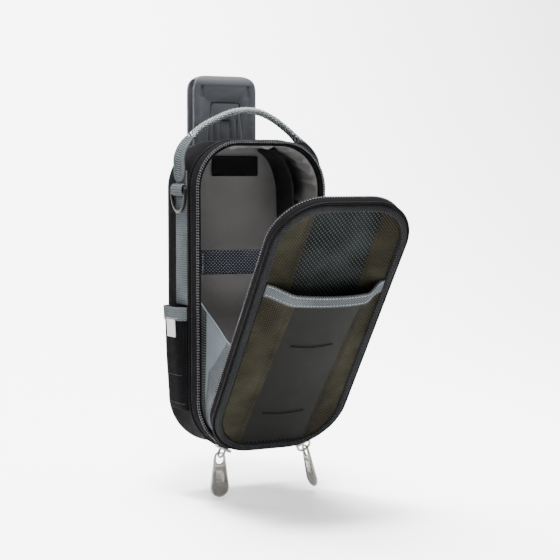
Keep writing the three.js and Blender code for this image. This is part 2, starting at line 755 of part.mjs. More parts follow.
// A pull hanging straight down from a point on the bail, faced by a turn about z.
function pull(turn) {
  const outer = new THREE.Shape();
  const top = BAIL_R + EYE_ABOVE + TOP_BAR;
  const low = top - PULL_LONG;
  outer.moveTo(-2.2, top);
  outer.quadraticCurveTo(-4.6, top, -PULL_NECK, 0);
  pullSides(outer, low, 0);
  outer.lineTo(PULL_NECK, 0);
  outer.quadraticCurveTo(4.6, top, 2.2, top);
  outer.closePath();
  const eye = new THREE.Path();
  const eyeTop = BAIL_R + EYE_ABOVE;
  eye.moveTo(-EYE_HALF * 0.6, eyeTop);
  eye.quadraticCurveTo(-EYE_HALF, eyeTop - 0.2, -EYE_HALF, -1);
  eye.quadraticCurveTo(-EYE_HALF * 1.2, EYE_LOW, 0, EYE_LOW);
  eye.quadraticCurveTo(EYE_HALF * 1.2, EYE_LOW, EYE_HALF, -1);
  eye.quadraticCurveTo(EYE_HALF, eyeTop - 0.2, EYE_HALF * 0.6, eyeTop);
  eye.closePath();
  outer.holes.push(eye);
  const plate = extrude(outer, -PULL_T / 2, PULL_T / 2, new THREE.Matrix4(), 0.5);
  const field = new THREE.Shape();
  const fieldTop = EYE_LOW - 2.6;
  const slope = (PULL_W / 2 - PULL_NECK) / -(low + PULL_W / 2);
  const topHalf = PULL_NECK - fieldTop * slope - PULL_RIM;
  field.moveTo(-topHalf, fieldTop);
  pullSides(field, low, PULL_RIM);
  field.lineTo(topHalf, fieldTop);
  field.closePath();
  // inside the rim both faces are hollowed, round a low blank plaque
  const plaqueShape = roundedRect(4.2, low + 14, fieldTop - 3, 0.8);
  const plaque = extrude(plaqueShape, 0, PULL_T / 2 - 0.15, new THREE.Matrix4());
  const hollow = (side) => {
    const deep = cut(extrude(field, PULL_T / 2 - 0.55, PULL_T / 2 + 1, new THREE.Matrix4()), plaque);
    return side > 0 ? deep : deep.rotateY(Math.PI);
  };
  const recessed = cut(plate, hollow(1), hollow(-1));
  return recessed.rotateX(Math.PI / 2).rotateZ(turn);
}

// The bail's crown, from which a pull hangs.
function crown(side) {
  const reach = shoeRadius + BAIL_HIGH;
  return new THREE.Vector3(
    side * (cornerX + reach * Math.cos(parkAngle)),
    -SHOE_MID,
    R_BOTTOM + reach * Math.sin(parkAngle),
  );
}

// The left pull faces the front, the right one hangs side-on.
addPiece('slider_left', slider(-1, Math.PI / 2, 5.6), 'gunmetal');
addPiece('slider_right', slider(1, 0, 6.9), 'gunmetal');
const leftCrown = crown(-1);
const rightCrown = crown(1);
addPiece('pull_left', pull(0).translate(leftCrown.x, leftCrown.y, leftCrown.z), 'gunmetal');
const rightPull = pull(Math.PI / 2).rotateY(-PULL_LEAN);
addPiece('pull_right', rightPull.translate(rightCrown.x, rightCrown.y, rightCrown.z), 'gunmetal');

// ---------------------------------------------------------------- back: pad, receiver, belt clip
const PAD_Y = 3 + GAP;
const PAD_BACK = 9;
const PAD_SEAT = PAD_BACK - 0.8; // the foam is pressed this thin under the riveted receiver
const BASE_LOW = 212;
const BASE_HIGH = 286;
const padOutline = roundedRect(52, 30, 272, 26);
addPiece(
  'back_pad',
  join(
    backward(padOutline, PAD_Y, PAD_SEAT),
    common(backward(padOutline, PAD_Y, PAD_BACK), block(-60, 60, PAD_Y - 1, PAD_BACK + 1, 0, BASE_LOW - 4)),
  ),
  'blackCloth',
);

const CLIP_HALF = 33.3;
const CLIP_LOW = 226;
const BASE_Y = PAD_SEAT + GAP;
const BASE_BACK = PLATE_Y - 0.5;
const RAIL_X = CLIP_HALF + 1.7;
const RAIL_BACK = PLATE_Y + PLATE_T + 3;

const rail = (side) => {
  const [x0, x1] = side < 0 ? [-RAIL_X - 4.5, -RAIL_X] : [RAIL_X, RAIL_X + 4.5];
  return block(x0, x1, BASE_BACK - 1, RAIL_BACK, BASE_LOW + 6, BASE_HIGH - 4);
};
const lip = (side) => {
  const [x0, x1] = side < 0 ? [-RAIL_X - 4.5, -RAIL_X + 6] : [RAIL_X - 6, RAIL_X + 4.5];
  return block(x0, x1, PLATE_Y + PLATE_T + 0.5, RAIL_BACK, BASE_LOW + 6, BASE_HIGH - 4);
};
addPiece(
  'clip_receiver',
  join(
    backward(roundedRect(50, BASE_LOW, BASE_HIGH, 8), BASE_Y, BASE_BACK),
    rail(-1),
    rail(1),
    lip(-1),
    lip(1),
    block(-RAIL_X - 4.5, RAIL_X + 4.5, BASE_BACK - 1, RAIL_BACK, BASE_LOW + 6, CLIP_LOW - 1.5),
  ),
  'darkPlastic',
);
const rivetProfile = [[0, 0], [2.8, 0], [2.7, 0.5], [1.6, 1.3], [0, 1.6]];
let rivetCount = 0;
for (const x of [-46, 46]) {
  for (const z of [BASE_LOW + 10, BASE_HIGH - 10]) {
    rivetCount += 1;
    const points = rivetProfile.map(([r, h]) => new THREE.Vector2(r, h));
    const dome = new THREE.LatheGeometry(points, 16).translate(x, BASE_BACK + GAP, z);
    addPiece(`rivet_${rivetCount}`, dome, 'gunmetal');
  }
}

// The clip is one moulding: a plate, a bridge over the belt and a leg behind it.
const LEG_Y = PLATE_Y + PLATE_T + BELT_GAP;
const BRIDGE_Y = (PLATE_Y + LEG_Y + PLATE_T) / 2;
const OUTER_R = BRIDGE_Y - PLATE_Y;
const INNER_R = BELT_GAP / 2;
const BEND_Z = CLIP_TOP - OUTER_R;
const LEG_LOW = 258;

function hookProfile() {
  const points = [[PLATE_Y, CLIP_LOW]];
  const steps = 12;
  for (let i = 0; i <= steps; i += 1) {
    const angle = Math.PI - (Math.PI * i) / steps;
    points.push([BRIDGE_Y + OUTER_R * Math.cos(angle), BEND_Z + OUTER_R * Math.sin(angle)]);
  }
  points.push([LEG_Y + PLATE_T, LEG_LOW + 12]);
  points.push([LEG_Y + PLATE_T + 4, LEG_LOW]);
  points.push([LEG_Y + PLATE_T + 1, LEG_LOW]);
  points.push([LEG_Y, LEG_LOW + 10]);
  for (let i = 0; i <= steps; i += 1) {
    const angle = (Math.PI * i) / steps;
    const reach = INNER_R;
    points.push([BRIDGE_Y + reach * Math.cos(angle), BEND_Z + (OUTER_R - PLATE_T) * Math.sin(angle)]);
  }
  points.push([PLATE_Y + PLATE_T, CLIP_LOW]);
  return points;
}

const tongueShape = (grow) => {
  const shape = new THREE.Shape();
  const [low, high] = [286 - 0.4 * grow, 328 + grow];
  shape.moveTo(-18.5 - grow, low);
  shape.lineTo(18.5 + grow, low);
  shape.lineTo(15 + grow, high - 4);
  shape.quadraticCurveTo(15 + grow, high, 11, high);
  shape.lineTo(-11, high);
  shape.quadraticCurveTo(-15 - grow, high, -15 - grow, high - 4);
  shape.closePath();
  return shape;
};
const clipSolid = common(
  acrossX(hookProfile(), -CLIP_HALF, CLIP_HALF),
  backward(roundedRect(CLIP_HALF, CLIP_LOW, CLIP_TOP, 16, 5), PLATE_Y - 5, LEG_Y + PLATE_T + 10),
);
const slotAt = (x) => {
  const slot = backward(roundedRect(1.6, 333, 345, 1.5), PLATE_Y - 1, PLATE_Y + 1.2);
  return slot.translate(x, 0, 0);
};
const legWindow = backward(roundedRect(17, 272, 322, 8), LEG_Y - 2, LEG_Y + PLATE_T + 2);
addPiece(
  'belt_clip',
  cut(
    clipSolid,
    backward(tongueShape(1), PLATE_Y - 1, PLATE_Y + PLATE_T + 1),
    slotAt(-24.5),
    slotAt(24.5),
    legWindow,
  ),
  'darkPlastic',
);
// grooves in the tongue's face leave a finger up its middle with a rail on each side
const FINGER_HALF = 4.5;
const FINGER_TOP = 310;
const GROOVE = 1.5;
const groove = (halfW, high, y0, y1) => backward(roundedRect(halfW, 280, high, 0.6), y0, y1);
const roundFinger = cut(
  groove(FINGER_HALF + GROOVE, FINGER_TOP + GROOVE, PLATE_Y - 1, PLATE_Y + 1.6),
  groove(FINGER_HALF, FINGER_TOP, PLATE_Y - 2, PLATE_Y + 2.6),
);
const outside = (x) => groove(GROOVE / 2, FINGER_TOP + GROOVE, PLATE_Y - 1, PLATE_Y + 1.6).translate(x, 0, 0);
const tongue = cut(
  backward(tongueShape(0), PLATE_Y + 0.4, PLATE_Y + PLATE_T - 0.4),
  roundFinger,
  outside(-12.6),
  outside(12.6),
);
const ridge = backward(roundedRect(4.2, FINGER_TOP + 3, FINGER_TOP + 8, 1.2), PLATE_Y - 1.2, PLATE_Y + 1);
addPiece('release_tongue', join(tongue, ridge), 'darkPlastic');

export default pouch;
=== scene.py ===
"""Looks for the tool pouch: cloth, webbing, zip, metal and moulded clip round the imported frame."""
import json
import math

import bmesh
import bpy
import numpy as np
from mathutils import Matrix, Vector, noise


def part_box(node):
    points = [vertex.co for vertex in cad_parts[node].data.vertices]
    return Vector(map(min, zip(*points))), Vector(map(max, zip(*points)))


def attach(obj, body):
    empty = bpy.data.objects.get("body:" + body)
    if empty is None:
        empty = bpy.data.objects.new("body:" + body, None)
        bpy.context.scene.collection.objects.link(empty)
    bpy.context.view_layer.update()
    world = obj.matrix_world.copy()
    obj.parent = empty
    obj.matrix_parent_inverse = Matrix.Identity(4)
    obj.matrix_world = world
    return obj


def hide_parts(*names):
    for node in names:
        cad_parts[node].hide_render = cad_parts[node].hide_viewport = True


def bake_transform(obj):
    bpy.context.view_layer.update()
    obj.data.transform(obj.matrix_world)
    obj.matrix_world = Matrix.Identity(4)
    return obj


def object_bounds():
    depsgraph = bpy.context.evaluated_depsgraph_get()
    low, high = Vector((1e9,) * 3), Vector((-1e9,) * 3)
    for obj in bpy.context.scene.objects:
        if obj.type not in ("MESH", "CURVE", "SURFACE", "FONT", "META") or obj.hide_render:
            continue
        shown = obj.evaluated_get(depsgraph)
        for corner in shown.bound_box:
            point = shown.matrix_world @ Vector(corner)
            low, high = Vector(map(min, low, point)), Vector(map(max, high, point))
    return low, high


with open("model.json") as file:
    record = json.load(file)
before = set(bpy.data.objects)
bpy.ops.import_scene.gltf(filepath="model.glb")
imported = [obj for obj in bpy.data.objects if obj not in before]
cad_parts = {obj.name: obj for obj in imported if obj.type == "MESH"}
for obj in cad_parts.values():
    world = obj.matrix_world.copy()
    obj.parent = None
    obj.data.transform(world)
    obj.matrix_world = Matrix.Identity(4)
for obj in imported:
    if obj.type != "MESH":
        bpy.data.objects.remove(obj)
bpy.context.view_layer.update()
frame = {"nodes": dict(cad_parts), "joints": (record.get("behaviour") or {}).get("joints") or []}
MM = 0.001

# ------------------------------------------------------------------ sizes read from the frame
shell_lo, shell_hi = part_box("side_wall")
WIDTH = shell_hi.x - shell_lo.x
HEIGHT = shell_hi.z - shell_lo.z
BOTTOM_Z = shell_lo.z
BACK_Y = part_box("back_panel")[1].y - 3 * MM  # the body's back plane, inside the back panel
joints = {j["name"]: j for j in frame["joints"]}
HINGE = Vector(joints["flap_hinge"]["pos_m"])
FLAP_OPEN = math.radians(-joints["flap_hinge"]["range_deg"][0])
DEPTH = BACK_Y - HINGE.y
HINGE_V = HINGE.z - BOTTOM_Z
FLAP_H = HEIGHT - HINGE_V

# ------------------------------------------------------------------ sizes shared with the frame's drawing
R_TOP = 45 * MM  # corner radii of the outline
R_BOTTOM = 49 * MM
TAPE_T = 48.4 * MM  # where the body's cloth stops and its zip tape begins
SEAM_X = 33 * MM  # between the face's middle and its olive strips
BINDING = 8.6 * MM
FACE_T = 9.3 * MM  # the flap's outer face, forward of its teeth
FIELD = BINDING + 0.3 * MM  # how far in from the outline the face begins
FLAP_OUT = (0, -math.cos(FLAP_OPEN), -math.sin(FLAP_OPEN))
POCKET_TOP = 199 * MM
POCKET_BULGE = 17 * MM
POCKET_T = FACE_T + 1.3 * MM
POCKET_V0 = FIELD + 2.6 * MM
BAND = 12 * MM
WEB = 25 * MM
pivot = joints["pull_left_swing"]["pos_m"]
corner_at = joints["slider_left_travel"]["pos_m"]
PARK = math.atan2(abs(pivot[0]) - abs(corner_at[0]), corner_at[2] - pivot[2])
ZIP_END = PARK - math.radians(4)  # how far round the lower corner the zip stops
STRAP_Y = BACK_Y - 32 * MM
EDGE_X = WIDTH / 2 - FIELD


# ------------------------------------------------------------------ places
def on_body(x, v, t):
    """x across, v up, t forward of the back plane, as rows of points in the row frame."""
    x, v, t = np.broadcast_arrays(x, v, t)
    return np.stack([x, BACK_Y - t, BOTTOM_Z + v], -1)


def on_flap(x, v, t):
    """x across, v up the flap from its hinge, t forward out of the plane of its teeth."""
    x, v, t = np.broadcast_arrays(x, v, t)
    y = HINGE.y - v * math.sin(FLAP_OPEN) - t * math.cos(FLAP_OPEN)
    z = HINGE.z + v * math.cos(FLAP_OPEN) - t * math.sin(FLAP_OPEN)
    return np.stack([x, y, z], -1)


class Rim:
    """The rounded outline, walked from the bottom middle up the right side and round."""

    def __init__(self, height):
        half = WIDTH / 2
        corners = [
            (half - R_BOTTOM, R_BOTTOM, R_BOTTOM, -90),
            (half - R_TOP, height - R_TOP, R_TOP, 0),
            (R_TOP - half, height - R_TOP, R_TOP, 90),
            (R_BOTTOM - half, R_BOTTOM, R_BOTTOM, 180),
        ]
        rows = [(0, 0, 0, -1)]
        for cx, cv, radius, start in corners:
            for degrees in np.linspace(start, start + 90, 46):
                nx, nv = math.cos(math.radians(degrees)), math.sin(math.radians(degrees))
                rows.append((cx + radius * nx, cv + radius * nv, nx, nv))
        rows.append((0, 0, 0, -1))
        self.rows = np.array(rows)
        steps = np.hypot(np.diff(self.rows[:, 0]), np.diff(self.rows[:, 1]))
        self.s = np.concatenate([[0], np.cumsum(steps)])
        self.length = self.s[-1]
        self.zip_start = half - R_BOTTOM + R_BOTTOM * ZIP_END
        self.height = height

    def at(self, s, inset):
        """x and v at the distance s round the outline, moved inwards by inset."""
        s = np.mod(s, self.length)
        x, v, nx, nv = (np.interp(s, self.s, self.rows[:, k]) for k in range(4))
        scale = np.hypot(nx, nv)
        return x - nx / scale * inset, v - nv / scale * inset

    def half_width(self, v, inset):
        """From the middle to the outline moved inwards by inset, at height v."""
        side = WIDTH / 2 - inset
        low = R_BOTTOM - inset
        top = R_TOP - inset
        below = np.maximum(0, R_BOTTOM - v)
        above = np.maximum(0, v - (self.height - R_TOP))
        drop = low - np.sqrt(np.maximum(0, low**2 - below**2))
        rise = top - np.sqrt(np.maximum(0, top**2 - above**2))
        return side - drop - rise


body_rim = Rim(HEIGHT)
flap_rim = Rim(FLAP_H)


def ripple(a, b, seed=0.0):
    """Smooth noise from -1 to 1 over two arrays of coordinates."""
    a, b = np.broadcast_arrays(a, b)
    values = [noise.noise(Vector((p, q, seed))) for p, q in zip(a.ravel(), b.ravel())]
    return np.array(values).reshape(a.shape)


def ease(x):
    """Goes from 0 to 1 with x, level at both ends."""
    x = np.clip(x, 0, 1)
    return x * x * (3 - 2 * x)


def unit(rows):
    """The rows, each scaled to length 1."""
    return rows / np.linalg.norm(rows, axis=1)[:, None]


def run_along(points):
    """How far along the line each of its points is."""
    return np.concatenate([[0], np.cumsum(np.linalg.norm(np.diff(points, axis=0), axis=1))])


# ------------------------------------------------------------------ mesh makers
def link(name, mesh, material, body=None, slot=None, replaces=()):
    """Puts a mesh in the scene, hides the nodes it replaces and parents it to its body; slot is not used."""
    obj = bpy.data.objects.new(name, mesh)
    bpy.context.scene.collection.objects.link(obj)
    obj.data.materials.append(material)
    if replaces:
        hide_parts(*replaces)
    if body:
        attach(obj, body)
    return obj


def grid(name, points, uv, material, wrap=False, thick=0.0, **where):
    """A sheet over rows of points (rows, columns, 3), with uv in metres."""
    rows, columns = points.shape[:2]
    spans = columns if wrap else columns - 1
    j, i = np.meshgrid(np.arange(rows - 1), np.arange(spans), indexing="ij")
    nxt = (i + 1) % columns
    quads = [j * columns + i, j * columns + nxt, (j + 1) * columns + nxt, (j + 1) * columns + i]
    faces = np.stack(quads, -1).reshape(-1, 4)
    mesh = bpy.data.meshes.new(name)
    mesh.from_pydata(points.reshape(-1, 3).tolist(), [], faces.tolist())
    layer = mesh.uv_layers.new(name="UVMap")
    last = np.where(i + 1 == columns, columns, i + 1)
    u, v = uv
    loops = []
    for jj, ii in ((j, i), (j, last), (j + 1, last), (j + 1, i)):
        at_u = u[np.minimum(ii, u.shape[-1] - 1)] if u.ndim == 1 else u[jj, np.minimum(ii, u.shape[-1] - 1)]
        at_v = v[jj] if v.ndim == 1 else v[jj, np.minimum(ii, v.shape[-1] - 1)]
        loops.append(np.stack([at_u, at_v], -1).reshape(-1, 2))
    layer.data.foreach_set("uv", np.stack(loops, 1).astype(np.float32).ravel())
    mesh.shade_smooth()
    obj = link(name, mesh, material, **where)
    if thick:
        modifier = obj.modifiers.new("thickness", "SOLIDIFY")
        modifier.thickness = thick
        modifier.offset = 0
    return obj


def laid_flat(points):
    """Width, length and area of a grid of points, as the cloth would measure laid out flat."""
    width = np.linalg.norm(np.diff(points, axis=1), axis=-1).sum(1).max()
    length = np.linalg.norm(np.diff(points, axis=0), axis=-1).sum(0).max()
    one_way = points[1:, 1:] - points[:-1, :-1]
    other_way = points[1:, :-1] - points[:-1, 1:]
    area = np.linalg.norm(np.cross(one_way, other_way), axis=-1).sum() / 2
    return width, length, area


def declare_sheet(points):
    """Measures a piece of cloth laid flat; nothing is done with the sizes."""
    width, length, area = laid_flat(points)
    area = min(area, width * length)


def tube(name, centres, radius, material, sides=12, loop=False, up=(0, 0, 1), **where):
    """A round tube along rows of points; radius may be one number or one per point."""
    centres = np.asarray(centres, float)
    if loop:
        along = np.roll(centres, -1, 0) - np.roll(centres, 1, 0)
    else:
        along = np.gradient(centres, axis=0)
    along = unit(along)
    side = unit(np.cross(along, np.array(up, float)))
    over = np.cross(side, along)
    radius = np.broadcast_to(radius, len(centres))[:, None, None]
    turn = np.linspace(0, 2 * math.pi, sides, endpoint=False)[None, :, None]
    ring = centres[:, None] + radius * (np.cos(turn) * side[:, None] + np.sin(turn) * over[:, None])
    points = np.concatenate([ring, ring[:1]]) if loop else ring
    run = run_along(points[:, 0])
    around = np.linspace(0, 2 * math.pi * float(radius.mean()), sides + 1)
    obj = grid(name, points, (around, run), material, wrap=True, **where)
    if not loop:
        cap_ends(obj, sides, len(points))
    return obj


def cap_ends(obj, sides, count):
    """Closes the first and the last of count rings with a face each."""
    bm = bmesh.new()
    bm.from_mesh(obj.data)
    bm.verts.ensure_lookup_table()
    first = [bm.verts[i] for i in range(sides)]
    last = [bm.verts[(count - 1) * sides + i] for i in range(sides)]
    bm.faces.new(first[::-1])
    bm.faces.new(last)
    bm.to_mesh(obj.data)
    bm.free()


def loft(name, rings, uv, material, **where):
    """A closed solid over rows of rings (stations, sides, 3), with both ends capped."""
    obj = grid(name, rings, uv, material, wrap=True, **where)
    cap_ends(obj, rings.shape[1], rings.shape[0])
    return obj


def strap(name, centres, outwards, sideways, width, thick, material, **where):
    """Webbing swept along rows of points: a flat section with rounded edges."""
    centres = np.asarray(centres, float)
    turn = np.linspace(0, 2 * math.pi, 20, endpoint=False)
    flat_u = np.sign(np.cos(turn)) * np.abs(np.cos(turn)) ** 0.35 * width / 2
    flat_w = np.sign(np.sin(turn)) * np.abs(np.sin(turn)) ** 0.7 * thick / 2
    sideways = np.broadcast_to(sideways, centres.shape)
    rings = centres[:, None] + flat_u[None, :, None] * sideways[:, None]
    rings = rings + flat_w[None, :, None] * np.asarray(outwards)[:, None]
    around = np.concatenate([flat_u, flat_u[:1]])
    return loft(name, rings, (around, run_along(centres)), material, **where)


def beads(name, starts, ends, ups, radius, material, **where):
    """One short raised strand between each start and end, such as a zip tooth."""
    side = unit(np.cross(unit(ends - starts), ups))
    turn = np.linspace(0, 2 * math.pi, 8, endpoint=False)
    rings = []
    for share, fat in ((0.0, 0.45), (0.12, 0.9), (0.5, 1.0), (0.88, 0.9), (1.0, 0.45)):
        centre = starts + (ends - starts) * share
        across = np.cos(turn)[None, :, None] * side[:, None] + np.sin(turn)[None, :, None] * ups[:, None]
        rings.append(centre[:, None] + fat * radius * across)
    points = np.stack(rings, 1)
    count = len(starts)
    faces = []
    for k in range(count):
        base = k * 40
        for r in range(4):
            for q in range(8):
                n = (q + 1) % 8
                faces.append((base + r * 8 + q, base + r * 8 + n, base + r * 8 + 8 + n, base + r * 8 + 8 + q))
        faces.append(tuple(base + q for q in range(7, -1, -1)))
        faces.append(tuple(base + 32 + q for q in range(8)))
    mesh = bpy.data.meshes.new(name)
    mesh.from_pydata(points.reshape(-1, 3).tolist(), [], faces)
    mesh.shade_smooth()
    return link(name, mesh, material, **where)


def stitches(name, line, normals, material, step=3.2 * MM, length=2.1 * MM, radius=0.34 * MM, **where):
    """Short raised threads end to end along a line of points, each lying on the cloth."""
    line = np.asarray(line, float)
    normals = np.broadcast_to(np.asarray(normals, float), line.shape)
    run = run_along(line)
    middles = np.arange(step / 2, run[-1] - length / 2, step)

    def along(values, s):
        return np.stack([np.interp(s, run, values[:, k]) for k in range(3)], -1)

    starts = along(line, middles - length / 2)
    ends = along(line, middles + length / 2)
    return beads(name, starts, ends, along(normals, middles), radius, material, **where)


def refined(name, node, material, body, bevel, slot):
    """A copy of a CAD node with its edges rounded, shown in its place."""
    source = frame["nodes"][node]
    mesh = source.data.copy()
    mesh.materials.clear()
    bm = bmesh.new()
    bm.from_mesh(mesh)
    bmesh.ops.remove_doubles(bm, verts=bm.verts, dist=2e-6)
    bmesh.ops.dissolve_limit(bm, angle_limit=math.radians(2), verts=bm.verts, edges=bm.edges)
    bm.to_mesh(mesh)
    bm.free()
    mesh.transform(source.matrix_world)
    obj = link(name, mesh, material, slot=slot, replaces=[node])
    modifier = obj.modifiers.new("edges", "BEVEL")
    modifier.width = bevel
    modifier.segments = 2
    modifier.limit_method = "ANGLE"
    modifier.angle_limit = math.radians(35)
    modifier.harden_normals = True
    obj.data.shade_smooth()
    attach(obj, body)
    return obj


# ------------------------------------------------------------------ materials
class Nodes:
    """A little help for wiring shader nodes."""

    def __init__(self, name):
        self.material = bpy.data.materials.new(name)
        self.material.use_nodes = True
        self.tree = self.material.node_tree
        self.shader = self.tree.nodes["Principled BSDF"]

    def add(self, kind, **values):
        node = self.tree.nodes.new(kind)
        for key, value in values.items():
            setattr(node, key, value)
        return node

    def join(self, out, into):
        self.tree.links.new(out, into)

    def math(self, operation, a, b=None):
        node = self.add("ShaderNodeMath", operation=operation)
        for socket, value in zip(node.inputs, (a, b)):
            if value is None:
                continue
            if isinstance(value, (int, float)):
                socket.default_value = value
            else:
                self.join(value, socket)
        return node.outputs[0]

    def wave(self, value):
        """Humps from 0 to 1, one for each whole step of the value."""
        return self.math("ABSOLUTE", self.math("SINE", self.math("MULTIPLY", value, math.pi)))

    def place(self):
        """The point's own place on the object, in metres."""
        return self.add("ShaderNodeTexCoord").outputs["Object"]

    def mix(self, factor, a, b):
        node = self.add("ShaderNodeMix", data_type="RGBA")
        self.join(factor, node.inputs["Factor"])
        for socket, value in ((node.inputs[6], a), (node.inputs[7], b)):
            if isinstance(value, tuple):
                socket.default_value = (*value, 1)
            else:
                self.join(value, socket)
        return node.outputs[2]

    def ramp(self, value, low, high, out_low=0.0, out_high=1.0):
        node = self.add("ShaderNodeMapRange")
        self.join(value, node.inputs[0])
        for socket, number in zip(node.inputs[1:5], (low, high, out_low, out_high)):
            socket.default_value = number
        return node.outputs[0]

    def noise(self, vector, scale, detail):
        node = self.add("ShaderNodeTexNoise")
        node.inputs["Scale"].default_value = scale
        node.inputs["Detail"].default_value = detail
        self.join(vector, node.inputs["Vector"])
        return node.outputs[0]

    def bump(self, height, distance, strength=1.0, normal=None):
        node = self.add("ShaderNodeBump")
        node.inputs["Distance"].default_value = distance
        node.inputs["Strength"].default_value = strength
        self.join(height, node.inputs["Height"])
        if normal is not None:
            self.join(normal, node.inputs["Normal"])
        return node.outputs[0]


def cloth(
    name, color, gap_color, pitch, pattern="plain", depth=0.25, rough=0.85, wear=0.18, under=0.72, shine=0.01,
):
    """Woven cloth, its threads drawn from the uv map in metres; under is how high the lower threads lie."""
    n = Nodes(name)
    uv = n.add("ShaderNodeUVMap")
    split = n.add("ShaderNodeSeparateXYZ")
    n.join(uv.outputs[0], split.inputs[0])
    place = n.place()
    u = n.math("MULTIPLY", split.outputs[0], 1 / pitch)
    v = n.math("MULTIPLY", split.outputs[1], 1 / pitch)
    hump_u = n.wave(u)
    hump_v = n.wave(v)
    if pattern == "plain":
        check = n.math("MODULO", n.math("ADD", n.math("FLOOR", u), n.math("FLOOR", v)), 2.0)
        check = n.math("ABSOLUTE", check)
        over = n.math("MULTIPLY", hump_u, n.math("POWER", hump_v, 0.4))
        lower = n.math("MULTIPLY", hump_v, n.math("POWER", hump_u, 0.4))
        lower = n.math("MULTIPLY", lower, n.math("MULTIPLY", n.math("SUBTRACT", 1.0, check), under))
        height = n.math("ADD", n.math("MULTIPLY", over, check), lower)
    elif pattern == "twill":
        height = n.math("MULTIPLY", n.wave(n.math("ADD", u, v)), n.math("POWER", hump_v, 0.3))
    elif pattern == "rib":
        across_rib = n.math("ADD", 0.75, n.math("MULTIPLY", hump_u, 0.25))
        height = n.math("MULTIPLY", n.math("POWER", hump_v, 0.6), across_rib)
    else:
        chevron = n.math("ABSOLUTE", n.math("SUBTRACT", n.math("FRACT", n.math("MULTIPLY", u, 0.25)), 0.5))
        height = n.wave(n.math("ADD", n.math("MULTIPLY", chevron, 4.0), v))
    fuzz = n.noise(place, 900.0, 2.0)
    broad = n.noise(place, 22.0, 4.0)
    strands = n.mix(n.ramp(height, 0.15, 0.8), gap_color, color)
    paler = tuple(c * 1.6 + 0.002 for c in color)
    mottled = n.mix(n.ramp(broad, 0.45, 0.8, 0.0, wear), strands, paler)
    mottled = n.mix(n.ramp(fuzz, 0.35, 0.75, 0.0, 0.25), mottled, gap_color)
    n.join(mottled, n.shader.inputs["Base Color"])
    n.join(n.ramp(broad, 0.3, 0.7, rough - 0.07, min(1.0, rough + 0.07)), n.shader.inputs["Roughness"])
    n.shader.inputs["Specular IOR Level"].default_value = shine
    soft = n.bump(broad, 1.2 * MM, 0.35)
    raised = n.math("ADD", height, n.math("MULTIPLY", fuzz, 0.35))
    n.join(n.bump(raised, depth * MM, 0.8, soft), n.shader.inputs["Normal"])
    return n.material


def moulded(name, color, rough, grain, grain_depth, wear, shine):
    """Plastic, painted metal or coated cloth with a fine grain."""
    n = Nodes(name)
    place = n.place()
    fine = n.noise(place, grain, 2.0)
    broad = n.noise(place, 16.0, 5.0)
    scuff = n.noise(place, 90.0, 6.0)
    mottled = n.mix(broad, color, tuple(c * 1.35 for c in color))
    n.join(n.mix(n.ramp(scuff, 0.58, 0.85, 0.0, 0.35), mottled, wear), n.shader.inputs["Base Color"])
    n.join(n.ramp(broad, 0.3, 0.7, rough - 0.07, rough + 0.1), n.shader.inputs["Roughness"])
    n.shader.inputs["Specular IOR Level"].default_value = shine
    soft = n.bump(broad, 1.0 * MM, 0.25)
    n.join(n.bump(fine, grain_depth * MM, 0.7, soft), n.shader.inputs["Normal"])
    return n.material


def metal(name, color, dark, rough):
    """Cast metal, rubbed brighter in patches."""
    n = Nodes(name)
    place = n.place()
    broad = n.noise(place, 260.0, 5.0)
    fine = n.noise(place, 900.0, 3.0)
    n.join(n.mix(n.ramp(broad, 0.3, 0.6), dark, color), n.shader.inputs["Base Color"])
    n.shader.inputs["Metallic"].default_value = 1.0
    n.join(n.ramp(fine, 0.3, 0.7, rough - 0.08, rough + 0.12), n.shader.inputs["Roughness"])
    n.join(n.bump(fine, 0.08 * MM, 0.5, n.bump(broad, 0.15 * MM, 0.4)), n.shader.inputs["Normal"])
    return n.material


def thread(name, color):
    """Sewing thread with fine fibres."""
    n = Nodes(name)
    place = n.place()
    fibres = n.noise(place, 2500.0, 2.0)
    n.join(n.mix(fibres, tuple(c * 0.7 for c in color), color), n.shader.inputs["Base Color"])
    n.shader.inputs["Roughness"].default_value = 0.7
    n.shader.inputs["Specular IOR Level"].default_value = 0.05
    n.join(n.bump(fibres, 0.08 * MM, 0.6), n.shader.inputs["Normal"])
    return n.material


BLACK = (0.0006, 0.0006, 0.0006)
BLACK_CLOTH = cloth("black_cloth", (0.0052, 0.0053, 0.006), BLACK, 1.5 * MM, depth=0.4)
BALLISTIC = cloth("ballistic_weave", (0.0056, 0.0056, 0.0064), BLACK, 1.7 * MM, depth=0.5)
FACE_WEAVE = cloth("face_weave", (0.029, 0.034, 0.033), BLACK, 2.1 * MM, depth=0.7, wear=0.25, under=0.3)
BINDING_CLOTH = cloth("binding_cloth", (0.020, 0.021, 0.022), BLACK, 2.3 * MM, "twill", depth=0.7, wear=0.3)
TAPE_CLOTH = cloth("zip_tape", (0.0060, 0.0058, 0.0068), BLACK, 1.1 * MM, "chevron", depth=0.3)
OLIVE = cloth(
    "olive_cloth", (0.0285, 0.0270, 0.0190), (0.0035, 0.003, 0.002), 1.5 * MM, depth=0.5, wear=0.5, under=0.4,
)
WEBBING = cloth(
    "grey_webbing", (0.070, 0.078, 0.083), (0.004, 0.005, 0.005), 2.1 * MM, "twill", depth=0.6, wear=0.4,
)
ROPE = cloth("handle_webbing", (0.42, 0.45, 0.46), BLACK, 1.9 * MM, depth=0.9, wear=0.3, under=0.25)
LINING = cloth(
    "grey_lining", (0.130, 0.126, 0.124), (0.085, 0.083, 0.082), 0.5 * MM, depth=0.06, rough=0.6, shine=0.1,
)
GUSSET = cloth(
    "gusset_cloth", (0.070, 0.082, 0.090), (0.045, 0.053, 0.058), 0.5 * MM, depth=0.06, rough=0.6, shine=0.1,
)
PILE = cloth("pile_tape", (0.060, 0.063, 0.063), BLACK, 1.3 * MM, depth=0.6, rough=0.95, under=0.3)
